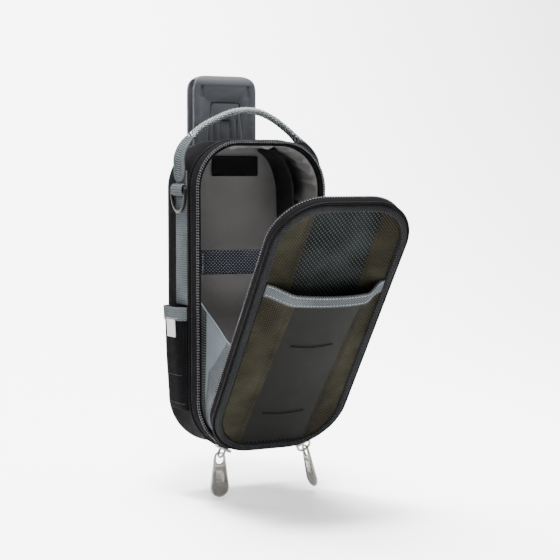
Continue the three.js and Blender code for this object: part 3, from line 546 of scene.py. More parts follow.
ELASTIC = cloth("elastic", (0.070, 0.075, 0.090), BLACK, 1.6 * MM, depth=0.5, under=0.3)
COATED = moulded("coated_cloth", (0.0048, 0.0048, 0.0044), 0.62, 1100.0, 0.05, (0.011, 0.011, 0.010), 0.04)
PIPING = moulded("piping_cloth", (0.002, 0.002, 0.002), 0.60, 1500.0, 0.06, (0.005, 0.005, 0.005), 0.03)
PLASTIC = moulded("clip_plastic", (0.024, 0.025, 0.028), 0.60, 2200.0, 0.05, (0.070, 0.074, 0.083), 0.05)
TEETH = moulded("zip_teeth", (0.055, 0.055, 0.060), 0.32, 1500.0, 0.02, (0.05, 0.05, 0.05), 0.4)
TAG = cloth("pale_tag", (0.33, 0.33, 0.325), (0.22, 0.22, 0.215), 0.5 * MM, "rib", depth=0.1)
LABEL = cloth(
    "satin_label", (0.006, 0.006, 0.007), (0.002, 0.002, 0.002), 0.45 * MM, "rib", depth=0.08, rough=0.5,
)
GUNMETAL = metal("gunmetal", (0.20, 0.19, 0.175), (0.155, 0.147, 0.135), 0.26)
# a darker, duller copy of the gunmetal: painted shade for the recessed faces of the zip pulls
RECESS_SHADE_METAL = metal("hollow_metal", (0.130, 0.124, 0.114), (0.100, 0.094, 0.086), 0.40)
BLACK_METAL = moulded("black_metal", BLACK, 0.45, 1500.0, 0.02, (0.004, 0.004, 0.004), 0.12)
DARK_THREAD = thread("dark_thread", (0.022, 0.022, 0.023))
GREY_THREAD = thread("grey_thread", (0.22, 0.225, 0.225))
SEAM_THREAD = thread("seam_thread", (0.004, 0.004, 0.004))


# ------------------------------------------------------------------ shapes swept round the outline
def clean(obj):
    """Joins doubled points and turns the faces outwards."""
    bm = bmesh.new()
    bm.from_mesh(obj.data)
    bmesh.ops.remove_doubles(bm, verts=bm.verts, dist=2e-6)
    bmesh.ops.recalc_face_normals(bm, faces=bm.faces)
    bm.to_mesh(obj.data)
    bm.free()
    return obj


def band(name, rim, place, profile, material, span=None, steps=420, shape=None, **where):
    """Sweeps a closed profile of (inset, t) round the rim, or along part of it."""
    profile = np.array(profile, float) * MM
    whole = span is None
    first, last = (0.0, rim.length) if whole else span
    s = np.linspace(first, last, steps + 1)[:, None]
    inset = np.broadcast_to(profile[:, 0], (steps + 1, len(profile)))
    t = np.broadcast_to(profile[:, 1], inset.shape)
    if shape:
        inset, t = shape(s, inset, t)
    x, v = rim.at(s, inset)
    edge = np.hypot(*(np.roll(profile, -1, 0) - profile).T)
    around = np.concatenate([[0], np.cumsum(edge)])
    obj = grid(name, place(x, v, t), (around, s[:, 0]), material, wrap=True, **where)
    if not whole:
        cap_ends(obj, len(profile), steps + 1)
    return clean(obj)


def rim_line(rim, place, inset, t, span=None, steps=500):
    """Points along the whole outline, or along part of it."""
    first, last = (0.0, rim.length) if span is None else span
    s = np.linspace(first, last, steps, endpoint=span is not None)
    x, v = rim.at(s, inset)
    return place(x, v, t)


def rim_out(rim, place, span=None, steps=500):
    """The outward direction at each point of rim_line."""
    near = rim_line(rim, place, 1 * MM, 0.0, span, steps)
    far = rim_line(rim, place, 0.0, 0.0, span, steps)
    return unit(far - near)


def panel(name, rim, place, inset, lift, material, x_span=(-1.0, 1.0), v_span=None, size=(70, 120), **where):
    """A sheet filling the outline between two x's and two v's, lift(x, v) forward."""
    columns, rows = size
    low, high = v_span or (inset, rim.height - inset)
    w = (1 - np.cos(np.linspace(0, math.pi, rows))) / 2
    v = (low + (high - low) * w)[:, None]
    reach = rim.half_width(v, inset)
    left = np.clip(x_span[0], -reach, reach)
    right = np.clip(x_span[1], -reach, reach)
    x = left + (right - left) * np.linspace(0, 1, columns)[None, :]
    v = np.broadcast_to(v, x.shape)
    return grid(name, place(x, v, lift(x, v)), (x, v), material, **where)


def smooth_path(points, count):
    """A Catmull-Rom line through the points, evenly spaced."""
    p = np.array(points, float)
    p = np.vstack([2 * p[0] - p[1], p, 2 * p[-1] - p[-2]])
    out = []
    for k in range(1, len(p) - 2):
        a, b, c, d = p[k - 1 : k + 3]
        for t in np.linspace(0, 1, 24, endpoint=False):
            bend = (2 * a - 5 * b + 4 * c - d) * t**2 + (3 * b - a - 3 * c + d) * t**3
            out.append(0.5 * (2 * b + (c - a) * t + bend))
    out = np.array(out + [p[-2]])
    run = run_along(out)
    at = np.linspace(0, run[-1], count)
    return np.stack([np.interp(at, run, out[:, k]) for k in range(out.shape[1])], -1)


TOOTH_PITCH = 2.5 * MM


def zip_teeth(name, rim, place, t0, t1, body, replaces):
    """A thin coil round the edge of the tape: slanted strands, one after another."""
    span = (rim.zip_start, rim.length - rim.zip_start)
    count = int((span[1] - span[0]) / TOOTH_PITCH)
    s = np.linspace(span[0], span[1], count)
    middle = (t0 + t1) / 2 * MM
    x0, v0 = rim.at(s, 0.1 * MM)
    x1, v1 = rim.at(s + 0.55 * MM, 2.4 * MM)
    starts = place(x0, v0, middle)
    ends = place(x1, v1, middle)
    ups = unit(place(x0, v0, middle + MM) - starts)
    beads(name, starts, ends, ups, 0.72 * MM, TEETH, body=body, slot="zip_teeth", replaces=replaces)
    root = [(0.3, t0 - 0.5), (0.3, t1 - 0.3), (1.0, t1 - 0.3), (1.0, t0 - 0.5)]
    band(f"{name}_cord", rim, place, root, PIPING, span=span, body=body, slot="zip_teeth")


# ------------------------------------------------------------------ the body's shell
def slack(s, inset, t):
    """Outer cloth dips a little between its edges, with creases."""
    spot = np.broadcast_to(s, t.shape)
    crease = ripple(spot * 30, t * 26, 3.0)
    dip = np.sin(np.pi * np.clip(t / TAPE_T, 0, 1)) * (0.7 + 0.7 * crease) * MM
    return np.where(inset < 0.3 * MM, inset + dip, inset), t


def creased(s, inset, t):
    """Lining hangs in folds that run from the back of the shell to the tape sewn round its mouth."""
    spot = np.broadcast_to(s, t.shape)
    fold = 1 - 2 * np.abs(ripple(spot * 46, t * 14, 8.0))
    small = ripple(spot * 120, t * 60, 5.0)
    mouth = 0.35 + 0.65 * ease(t / (DEPTH * 0.8))
    smooth_side = 1 - 0.8 * ease((spot / body_rim.length - 0.58) / 0.1)
    sewn_down = 1 - ease((t - 53.5 * MM) / (2.5 * MM))
    drop = (4.4 * np.clip(fold, 0, 1) ** 2.4 + 0.7 * small + 0.4) * mouth * smooth_side * sewn_down * MM
    return np.where(inset > 4 * MM, inset + np.maximum(drop, 0), inset), t


wall_profile = [(0.7, 1.3)] + [(0.0, t) for t in np.linspace(2.4, 44.4, 18)]
wall_profile += [(0.7, 45.2), (1.4, 45.3), (1.4, 60.0), (2.8, 60.0), (2.8, 1.3)]
band(
    "body_wall", body_rim, on_body, wall_profile, BALLISTIC, shape=slack, body="pouch", slot="black_cloth",
    replaces=["side_wall"],
)

panel(
    "body_back", body_rim, on_body, 0.8 * MM,
    lambda x, v: -1.0 * MM + 0.5 * MM * ripple(x * 30, v * 24),
    BALLISTIC, thick=3.4 * MM, body="pouch", slot="black_cloth", replaces=["back_panel"],
)
back_edge = [(0.9, 1.0), (-0.2, 0.8), (-0.7, -0.6), (-0.5, -2.2)]
back_edge += [(0.6, -3.4), (3.4, -3.7), (5.6, -3.4), (5.8, -2.0)]
band("back_binding", body_rim, on_body, back_edge, BINDING_CLOTH, body="pouch", slot="black_cloth")

lining_profile = [(3.1, 1.5), (3.1, 59.5), (3.7, 60.0)]
lining_profile += [(4.3, t) for t in np.linspace(59.5, 1.5, 34)]
band(
    "lining_walls", body_rim, on_body, lining_profile, LINING, steps=620, shape=creased, body="pouch",
    slot="grey_lining", replaces=["lining"],
)
panel(
    "lining_back", body_rim, on_body, 3.6 * MM,
    lambda x, v: 2.2 * MM + 0.9 * MM * ripple(x * 22, v * 16, 2.0),
    LINING, size=(90, 160), thick=0.8 * MM, body="pouch", slot="grey_lining",
)

tube(
    "body_rim_piping", rim_line(body_rim, on_body, -0.2 * MM, 46.8 * MM), 1.35 * MM, PIPING, loop=True,
    up=(0, 1, 0), body="pouch", slot="coated_cloth", replaces=["body_piping"],
)
tape = [(0.2, 48.4), (0.0, 51.0), (0.0, 55.0), (0.1, 59.0), (0.3, 61.5), (1.1, 61.5), (1.1, 48.4)]
zip_span = (body_rim.zip_start, body_rim.length - body_rim.zip_start)
band(
    "body_tape", body_rim, on_body, tape, TAPE_CLOTH, span=zip_span, body="pouch", slot="black_cloth",
    replaces=["body_zip_tape"],
)
zip_teeth("body_teeth", body_rim, on_body, 61.9, 63.7, "pouch", ["body_zip_teeth"])
inner_tape = [(2.6, 60.2), (2.6, 61.7), (3.6, 62.0), (4.7, 61.7), (4.85, 56.0), (4.4, 56.0), (4.4, 60.2)]
band("body_tape_inside", body_rim, on_body, inner_tape, TAPE_CLOTH, body="pouch", slot="black_cloth")
stitches(
    "body_tape_stitching", rim_line(body_rim, on_body, -0.05 * MM, 50.6 * MM, zip_span, 900),
    rim_out(body_rim, on_body, zip_span, 900), DARK_THREAD, body="pouch",
)

# ------------------------------------------------------------------ inside the body
label_lo, label_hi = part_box("inner_label")


def face_card(name, lo, hi, t, thick, material, corner=1.2 * MM, **where):
    """A small flat card with rounded corners and edges, facing forward inside the body."""
    half_x = (hi.x - lo.x) / 2
    half_v = (hi.z - lo.z) / 2
    centre_x = (hi.x + lo.x) / 2
    centre_v = (hi.z + lo.z) / 2 - BOTTOM_Z
    rings = []
    for lift, grow in ((0.0, 0.0), (thick * 0.5, 0.15 * MM), (thick * 0.85, 0.0), (thick, -0.4 * MM)):
        outline = []
        for quarter in range(4):
            sx = 1 if quarter in (0, 3) else -1
            sv = 1 if quarter in (0, 1) else -1
            for degrees in np.linspace(0, 90, 6) + 90 * quarter:
                x = sx * (half_x - corner) + corner * math.cos(math.radians(degrees))
                v = sv * (half_v - corner) + corner * math.sin(math.radians(degrees))
                outline.append((centre_x + x + grow * sx, centre_v + v + grow * sv))
        outline = np.array(outline)
        rings.append(on_body(outline[:, 0], outline[:, 1], t + lift))
    rings = np.stack(rings)
    obj = loft(name, rings, (np.zeros(25), np.zeros(4)), material, **where)
    layer = obj.data.uv_layers["UVMap"].data
    for loop in obj.data.loops:
        co = obj.data.vertices[loop.vertex_index].co
        layer[loop.index].uv = (co.x, co.z)
    return clean(obj)


face_card(
    "label", label_lo, label_hi, 3.6 * MM, 0.9 * MM, LABEL,
    body="pouch", slot="coated_cloth", replaces=["inner_label"],
)
label_x = np.linspace(label_lo.x + 1.6 * MM, label_hi.x - 1.6 * MM, 30)
label_line = on_body(label_x, label_hi.z - 1.6 * MM - BOTTOM_Z, 4.5 * MM)
stitches(
    "label_stitching", label_line, (0, -1, 0), DARK_THREAD, step=2.2 * MM, length=1.4 * MM, radius=0.22 * MM,
    body="pouch",
)

strap_lo, strap_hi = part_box("meter_strap")
strap_reach = strap_hi.x
strap_x = np.linspace(-strap_reach, strap_reach, 90)
strap_t = (38 + 12 * (1 - (strap_x / strap_reach) ** 2)) * MM - 0.75 * MM
strap_mid = (strap_lo.z + strap_hi.z) / 2 - BOTTOM_Z
strap_line = on_body(strap_x, strap_mid, strap_t)
strap_out = unit(np.cross(np.gradient(strap_line, axis=0), (0, 0, 1.0)))
strap(
    "elastic_strap", strap_line, strap_out, (0, 0, 1.0), strap_hi.z - strap_lo.z, 1.7 * MM, ELASTIC,
    body="pouch", slot="black_cloth", replaces=["meter_strap"],
)
for share in (0.1, 0.9):
    at = int(share * 89)
    rise = np.linspace(strap_lo.z + 1 * MM, strap_hi.z - 1 * MM, 20)[:, None]
    seam = np.hstack([np.repeat(strap_line[at][None, :2] + strap_out[at][None, :2] * 0.9 * MM, 20, 0), rise])
    stitches(
        f"strap_stitching_{at}", seam, strap_out[at], GREY_THREAD,
        step=2.4 * MM, length=1.6 * MM, body="pouch",
    )

divider_plan = [(24, 282.5), (36, 272), (43.5, 254), (45.5, 232), (46, 150), (45, 52)]
divider = smooth_path(np.array(divider_plan) * MM, 90)
deep = np.linspace(3.1, 36.0, 26)[:, None] * MM
divider_v, divider_t = np.broadcast_arrays(divider[None, :, 1], deep)
wave = 0.9 * MM * ripple(divider_v * 26, divider_t * 18)
divider_run = np.linspace(0, 0.26, 90)
divider_points = on_body(divider[None, :, 0] + 0.7 * MM + wave, divider[None, :, 1], deep)
# painted light: the black divider and its edge wear the lighter binding cloth, brightening the shaded inside
divider_cloth = grid(
    "divider", divider_points, (divider_run, deep[:, 0]), BINDING_CLOTH, thick=1.4 * MM,
    body="pouch", slot="black_cloth", replaces=["inner_divider"],
)
divider_front = on_body(divider[:, 0] + 0.7 * MM + wave[-1], divider[:, 1], 36 * MM)
divider_edge = tube(
    "divider_edge", divider_front, 1.2 * MM, BINDING_CLOTH, up=(0, 1, 0), body="pouch", slot="black_cloth",
)
declare_sheet(divider_points)

# ------------------------------------------------------------------ side pocket
POCKET_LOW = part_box("side_pocket")[0].z - BOTTOM_Z
POCKET_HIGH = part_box("side_pocket_band")[1].z - BOTTOM_Z
MOUTH_LOW = POCKET_HIGH - BAND  # the lower edge of the band round the pocket's mouth
POCKET_RUN = 45 * MM  # length of the cloth across the pocket, for its weave


def side_cloth(u, v, lift):
    """u across the pocket from back to front, v up the body."""
    t = (4 + 40.5 * u) * MM
    rise = np.clip((v - POCKET_LOW) / (POCKET_HIGH - POCKET_LOW), 0, 1)
    free = 1 - np.abs(2 * u - 1) ** 5
    bulge = (1.5 + 8.5 * np.sqrt(rise)) * free * MM
    crease = 0.6 * MM * ripple(u * 1.6, v * 30, 6.0)
    return on_body(-WIDTH / 2 - 0.3 * MM - lift - bulge - crease * free, v, t)


def side_piece(name, u_span, v_span, size, lift, material, **where):
    """A sheet over part of the side pocket, with size columns and rows."""
    u = np.linspace(*u_span, size[0])
    v = np.linspace(*v_span, size[1])
    points = side_cloth(u[None, :], v[:, None], lift)
    grid(name, points, (u * POCKET_RUN, v), material, body="pouch", **where)


side_piece(
    "tool_pocket", (0, 1), (POCKET_LOW, MOUTH_LOW), (60, 90), 0.6 * MM, BLACK_CLOTH, thick=1.2 * MM,
    slot="black_cloth", replaces=["side_pocket"],
)
side_piece(
    "tool_pocket_band", (0, 1), (MOUTH_LOW - 0.6 * MM, POCKET_HIGH), (60, 10), 1.4 * MM, WEBBING,
    thick=1.9 * MM, slot="grey_webbing", replaces=["side_pocket_band"],
)
for number, height in enumerate((POCKET_LOW + 6 * MM, POCKET_LOW + 33 * MM, MOUTH_LOW + 1.5 * MM)):
    lift = 2.5 * MM if number == 2 else 1.4 * MM
    line = side_cloth(np.linspace(0.03, 0.97, 60), np.full(60, height), lift)
    color = GREY_THREAD if number == 2 else DARK_THREAD
    stitches(f"tool_pocket_stitching_{number}", line, (-1, 0, 0), color, body="pouch")
side_piece(
    "pocket_tag", (0.42, 0.82), (MOUTH_LOW - 16 * MM, MOUTH_LOW + 0.5 * MM), (24, 20), 2.2 * MM, TAG,
    thick=0.8 * MM, slot="tag_cloth", replaces=["side_tag"],
)

# ------------------------------------------------------------------ webbing, rings and handle
webbing_lo, webbing_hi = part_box("side_webbing_right")
LOOP_X = (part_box("d_ring_right")[0].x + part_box("d_ring_right")[1].x) / 2
LOOP_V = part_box("d_ring_right")[1].z - 1.5 * MM - BOTTOM_Z
RING_HALF = (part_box("d_ring_right")[1].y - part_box("d_ring_right")[0].y) / 2 - 1.5 * MM
STRAP_T = BACK_Y - STRAP_Y
for side, name in ((-1, "left"), (1, "right")):
    heights = np.linspace(webbing_lo.z - BOTTOM_Z, webbing_hi.z - BOTTOM_Z, 60)
    wander = 0.25 * MM * ripple(heights * 40, heights * 0, side)
    x = side * (WIDTH / 2 + 0.3 * MM + 0.95 * MM + np.abs(wander))
    strap(
        f"webbing_{name}", on_body(x, heights, STRAP_T), np.broadcast_to((float(side), 0, 0), (60, 3)),
        (0, 1.0, 0), WEB, 1.9 * MM, WEBBING,
        body="pouch", slot="grey_webbing", replaces=[f"side_webbing_{name}"],
    )
    turn = np.linspace(-0.5 * math.pi, 1.5 * math.pi, 40)
    ring_x = side * (LOOP_X + 2.8 * MM * np.cos(turn))
    ring_v = LOOP_V - 1.6 * MM + 4.9 * MM * np.sin(turn)
    outward = np.stack([side * np.cos(turn), 0 * turn, np.sin(turn)], -1)
    strap(
        f"ring_loop_{name}", on_body(ring_x, ring_v, STRAP_T), outward, (0, 1.0, 0), WEB, 1.5 * MM, WEBBING,
        body="pouch", slot="grey_webbing",
    )
    bow = np.linspace(0, math.pi, 60)
    ring_path = [(RING_HALF * math.cos(a), -3 * MM - 19 * MM * math.sin(a) ** 0.85) for a in bow]
    ring_path += [(-RING_HALF, -1.2 * MM), (-RING_HALF + 1.4 * MM, 0), (-6 * MM, 0), (6 * MM, 0)]
    ring_path += [(RING_HALF - 1.4 * MM, 0), (RING_HALF, -1.2 * MM)]
    ring_path = np.array(ring_path)
    tube(
        f"ring_{name}", on_body(side * LOOP_X, LOOP_V + ring_path[:, 1], STRAP_T - ring_path[:, 0]), 1.5 * MM,
        BLACK_METAL, sides=16, loop=True, up=(1, 0, 0), body=f"ring_{name}", slot="black_metal",
        replaces=[f"d_ring_{name}"],
    )
    for row, height in enumerate((LOOP_V - 9 * MM, LOOP_V - 44 * MM, webbing_lo.z - BOTTOM_Z + 4 * MM)):
        t = np.linspace(STRAP_T - WEB / 2 + 1.5 * MM, STRAP_T + WEB / 2 - 1.5 * MM, 12)
        line = on_body(side * (WIDTH / 2 + 2.9 * MM), height, t)
        stitches(f"webbing_stitching_{name}_{row}", line, (side, 0, 0), DARK_THREAD, body="pouch")

handle_joint = joints["handle_swing"]["pos_m"]
HANDLE_V = handle_joint[2] - BOTTOM_Z
HANDLE_X = WIDTH / 2 + 0.3 * MM + 1.8 * MM + 0.3 * MM + 1.1 * MM
top = np.array([
    (-50, 37.5), (-32, 47), (-12, 54), (8, 54.5), (26, 48), (42, 37.5), (55, 26.5),
]) * MM
arch = [(-HANDLE_X, -WEB / 2), (-HANDLE_X, 0), (-HANDLE_X + 0.3 * MM, 12 * MM), (-HANDLE_X + 7 * MM, 25 * MM)]
arch += [tuple(p) for p in top] + [(HANDLE_X - 5 * MM, 15.5 * MM), (HANDLE_X, 4 * MM), (HANDLE_X, -WEB / 2)]
handle_path = smooth_path(arch, 640)
handle_line = on_body(handle_path[:, 0], HANDLE_V + handle_path[:, 1], STRAP_T)
handle_out = np.cross(unit(np.gradient(handle_line, axis=0)), (0, 1.0, 0))
handle_run = run_along(handle_line)
along_handle = handle_run / handle_run[-1]
rope = ease((np.minimum(along_handle, 1 - along_handle) - 0.165) / 0.105)  # 0 flat webbing, 1 cord
below = np.clip(-handle_path[:, 1] / (WEB / 2), 0, 1)
half_w = (WEB / 2 * np.maximum(0.05, 1 - below**2.6) ** (1 / 2.6)) * (1 - rope) + 4.6 * MM * rope
half_t = 0.95 * MM * (1 - rope) + 3.0 * MM * rope
HANDLE_SIDES = 28
around = np.linspace(0, 2 * math.pi, HANDLE_SIDES, endpoint=False)
braid_turn = math.pi * handle_run[:, None] / (4.4 * MM)
strands = np.abs(np.sin(braid_turn + around[None, :])) + np.abs(np.sin(braid_turn - around[None, :]))
braid = 1 + 0.12 * rope[:, None] * (strands - 1.1)
flatness = 0.4 + 0.6 * rope[:, None]
edge_u = np.sign(np.cos(around)) * np.abs(np.cos(around)) ** flatness
edge_w = np.sign(np.sin(around)) * np.abs(np.sin(around)) ** flatness
handle_wide = (half_w[:, None] * edge_u * braid)[..., None] * np.array([0, 1.0, 0])
handle_deep = (half_t[:, None] * edge_w * braid)[..., None] * handle_out[:, None]
handle_rings = handle_line[:, None] + handle_wide + handle_deep
handle = loft(
    "handle_cord", handle_rings, (np.linspace(0, 34 * MM, HANDLE_SIDES + 1), handle_run), ROPE,
    body="handle", slot="grey_webbing", replaces=["carry_handle"],
)
handle.data.materials.append(WEBBING)
for polygon in handle.data.polygons:
    ring = min(polygon.index // HANDLE_SIDES, len(rope) - 1)
    polygon.material_index = 1 if rope[ring] < 0.3 else 0
for side in (-1, 1):
    end = np.argmin(np.abs(handle_path[:, 1] - 4 * MM) + (np.sign(handle_path[:, 0]) != side))
    for offset in (-6 * MM, 6 * MM):
        rise = np.linspace(-7 * MM, 9 * MM, 20)
        line = on_body(side * (HANDLE_X + 1.05 * MM), HANDLE_V + rise, STRAP_T + offset)
        row = f"handle_stitching_{side}_{int(offset / MM)}"
        stitches(row, line, (side, 0, 0), DARK_THREAD, body="handle")

# ------------------------------------------------------------------ the flap
flap_span = (flap_rim.zip_start, flap_rim.length - flap_rim.zip_start)
flap_tape = [(0.2, 2.6), (0.0, 4.0), (0.0, 7.0), (0.3, 9.0), (1.1, 9.0), (1.1, 2.6)]
band(
    "flap_tape", flap_rim, on_flap, flap_tape, TAPE_CLOTH, span=flap_span, body="flap", slot="black_cloth",
    replaces=["flap_zip_tape"],
)
zip_teeth("flap_teeth", flap_rim, on_flap, 0.4, 2.2, "flap", ["flap_zip_teeth"])
tube(
    "flap_rim_piping", rim_line(flap_rim, on_flap, 0.2 * MM, 10.5 * MM), 1.3 * MM, PIPING, loop=True,
    up=FLAP_OUT, body="flap", slot="coated_cloth", replaces=["flap_piping"],
)
binding_profile = [(1.6, 9.3), (1.7, 11.4), (2.5, 13.0), (4.2, 13.8), (6.2, 13.7), (7.7, 12.8), (8.5, 11.0)]
binding_profile += [(8.6, 9.3)]
band(
    "flap_edge_binding", flap_rim, on_flap, binding_profile, BINDING_CLOTH, body="flap", slot="black_cloth",
    replaces=["flap_binding"],
)
stitches(
    "binding_stitching", rim_line(flap_rim, on_flap, 6.9 * MM, 13.35 * MM, None, 1400),
    FLAP_OUT, DARK_THREAD, step=3.6 * MM, length=2.5 * MM, body="flap",
)
band(
    "flap_lining_walls", flap_rim, on_flap, [(2.8, 1.0), (2.8, 7.5), (4.0, 7.5), (4.0, 1.0)], LINING,
    body="flap", slot="grey_lining", replaces=["flap_lining"],
)
panel(
    "flap_lining_face", flap_rim, on_flap, 2.9 * MM,
    lambda x, v: 6.6 * MM - 0.8 * MM * np.abs(ripple(x * 24, v * 18, 4.0)),
    LINING, thick=0.8 * MM, body="flap", slot="grey_lining",
)
panel(
    "flap_stiffener", flap_rim, on_flap, 1.5 * MM, lambda x, v: 8.4 * MM + 0 * x, COATED, size=(40, 60),
    thick=1.1 * MM, body="flap", slot="coated_cloth", replaces=["flap_panel"],
)


def face_lift(x, v):
    """How far forward the flap's outer face lies, with soft dents."""
    return FACE_T + 0.5 * MM + 0.3 * MM * ripple(x * 28, v * 24, 7.0)


panel(
    "face_weave", flap_rim, on_flap, FIELD, face_lift, FACE_WEAVE, x_span=(-SEAM_X, SEAM_X), thick=0.9 * MM,
    body="flap", slot="black_cloth", replaces=["weave_panel"],
)
for name, x_span in (("left", (-WIDTH, -SEAM_X)), ("right", (SEAM_X, WIDTH))):
    panel(
        f"face_trim_{name}", flap_rim, on_flap, FIELD, lambda x, v: face_lift(x, v) + 0.3 * MM, OLIVE,
        x_span=x_span, thick=0.9 * MM, body="flap", slot="olive_cloth", replaces=[f"trim_strip_{name}"],
    )


def pocket_lift(x, v):
    """Flat at the bottom, standing off at the mouth, with soft dents."""
    rise = np.clip((v - POCKET_V0) / (POCKET_TOP - POCKET_V0), 0, 1)
    beyond = np.clip((np.abs(x) - SEAM_X) / (EDGE_X - SEAM_X), 0, 1)
    middle = 1 - 0.12 * (np.minimum(np.abs(x), SEAM_X) / SEAM_X) ** 2
    across = middle * (1 - ease(beyond))
    dent = 1.1 * MM * ripple(x * 20, v * 13, 9.0) * rise * (1 - beyond)
    return POCKET_T + POCKET_BULGE * rise**1.15 * across + dent


def sag(x, v):
    """The pocket's mouth hangs lowest in its middle."""
    rise = np.clip((v - POCKET_V0) / (POCKET_TOP - POCKET_V0), 0, 1)
    return v - 3.2 * MM * rise**3 * (1 - (x / EDGE_X) ** 2)


def on_pocket(extra):
    """A place function for cloth that lies on the pocket, extra above its base."""
    return lambda x, v, t: on_flap(x, sag(x, v), pocket_lift(x, v) + extra + 0 * t)


pocket_pieces = (
    ("front_pocket", "pocket_centre", COATED, "coated_cloth", (-SEAM_X, SEAM_X), 11.5 * MM),
    ("front_pocket_left", "pocket_side_left", OLIVE, "olive_cloth", (-WIDTH, -SEAM_X), 13.5 * MM),
    ("front_pocket_right", "pocket_side_right", OLIVE, "olive_cloth", (SEAM_X, WIDTH), 13.5 * MM),
)
for name, node, material, slot_name, x_span, low in pocket_pieces:
    panel(
        name, flap_rim, on_pocket(0.7 * MM), FIELD, lambda x, v: 0 * x, material, x_span=x_span,
        v_span=(low, POCKET_TOP - BAND), thick=1.3 * MM, body="flap", slot=slot_name, replaces=[node],
    )
panel(
    "front_pocket_band", flap_rim, on_pocket(1.6 * MM), FIELD, lambda x, v: 0 * x, WEBBING,
    v_span=(POCKET_TOP - BAND - 0.8 * MM, POCKET_TOP), size=(120, 12), thick=1.9 * MM, body="flap",
    slot="grey_webbing", replaces=["pocket_band"],
)
band_x = np.linspace(-EDGE_X + 1 * MM, EDGE_X - 1 * MM, 160)
for number, height in enumerate((POCKET_TOP - BAND + 1.4 * MM, POCKET_TOP - 1.6 * MM)):
    line = on_pocket(2.65 * MM)(band_x, np.full(160, height), 0)
    stitches(f"mouth_stitching_{number}", line, FLAP_OUT, GREY_THREAD, body="flap")
for side in (-1, 1):
    for number, offset in enumerate((1.4 * MM, 4.2 * MM)):
        x = np.full(200, side * (SEAM_X + offset))
        low = np.linspace(16 * MM, POCKET_TOP - BAND - 2 * MM, 200)
        high = np.linspace(POCKET_TOP + 3 * MM, FLAP_H - FIELD - 3 * MM, 200)
        line = on_pocket(1.45 * MM)(x, low, 0)
        stitches(f"pocket_seam_{side}_{number}", line, FLAP_OUT, SEAM_THREAD, body="flap")
        line = on_flap(x, high, face_lift(x, high) + 0.85 * MM)
        stitches(f"face_seam_{side}_{number}", line, FLAP_OUT, SEAM_THREAD, body="flap")
    x = np.full(200, side * SEAM_X)
    welt = on_pocket(1.0 * MM)(x, np.linspace(12.5 * MM, POCKET_TOP - BAND, 200), 0)
    tube(
        f"pocket_welt_{side}", welt, 0.6 * MM, OLIVE, sides=10, up=(1, 0, 0), body="flap", slot="olive_cloth",
    )

SLIT_HALF = 21 * MM
for number, height in enumerate((48 * MM, 135 * MM)):
    x = np.linspace(-SLIT_HALF, SLIT_HALF, 80)
    curve = height + 2.0 * MM * (x / SLIT_HALF) ** 2
    # the middle strand, in darker black cloth, is painted shade for the open slit between the coated lips
    for edge, (gap, material) in enumerate(((-1.0 * MM, COATED), (0.0, BLACK_CLOTH), (1.0 * MM, COATED))):
        lift = 1.35 * MM if gap else 1.6 * MM
        lip = on_pocket(lift)(x, curve + gap * np.sqrt(np.maximum(0, 1 - (x / SLIT_HALF) ** 2)), 0)
        tube(
            f"slit_{number}_{edge}", lip, 0.6 * MM, material, sides=10, up=(1, 0, 0),
            body="flap", slot="coated_cloth",
        )

# ------------------------------------------------------------------ soft links between body and flap
def shared(obj):
    """Bakes the piece's placement into its points; it is tied to neither the body nor the flap."""
    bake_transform(obj)
    return obj


TAPE_WIDE = {"flap": (42 * MM, 0.8), "shell": (4.5 * MM, 0.15)}  # width, and most of the gap to cover
GUSSET_START = math.radians(24)  # where it begins, round the lower corner from the bottom
GUSSET_HIGH = 140 * MM
GUSSET_RUN = 150 * MM  # the cloth's length, for its weave
GUSSET_TUCK = 11 * MM  # how far in it folds, and how far its mouth hangs
GUSSET_SAG = 22 * MM
GUSSET_CREASE = 3 * MM
SOFT = 0.9 * MM  # thickness of the soft links


def rim_side(rim, side, q, start, stop_v, inset):
    """x and v on the outline: q is 0 near the bottom and 1 at height stop_v."""
    begin = WIDTH / 2 - R_BOTTOM + R_BOTTOM * start
    end = WIDTH / 2 - R_BOTTOM + R_BOTTOM * math.pi / 2 + stop_v - R_BOTTOM
    x, v = rim.at(begin + (end - begin) * q, inset)
    return side * x, v


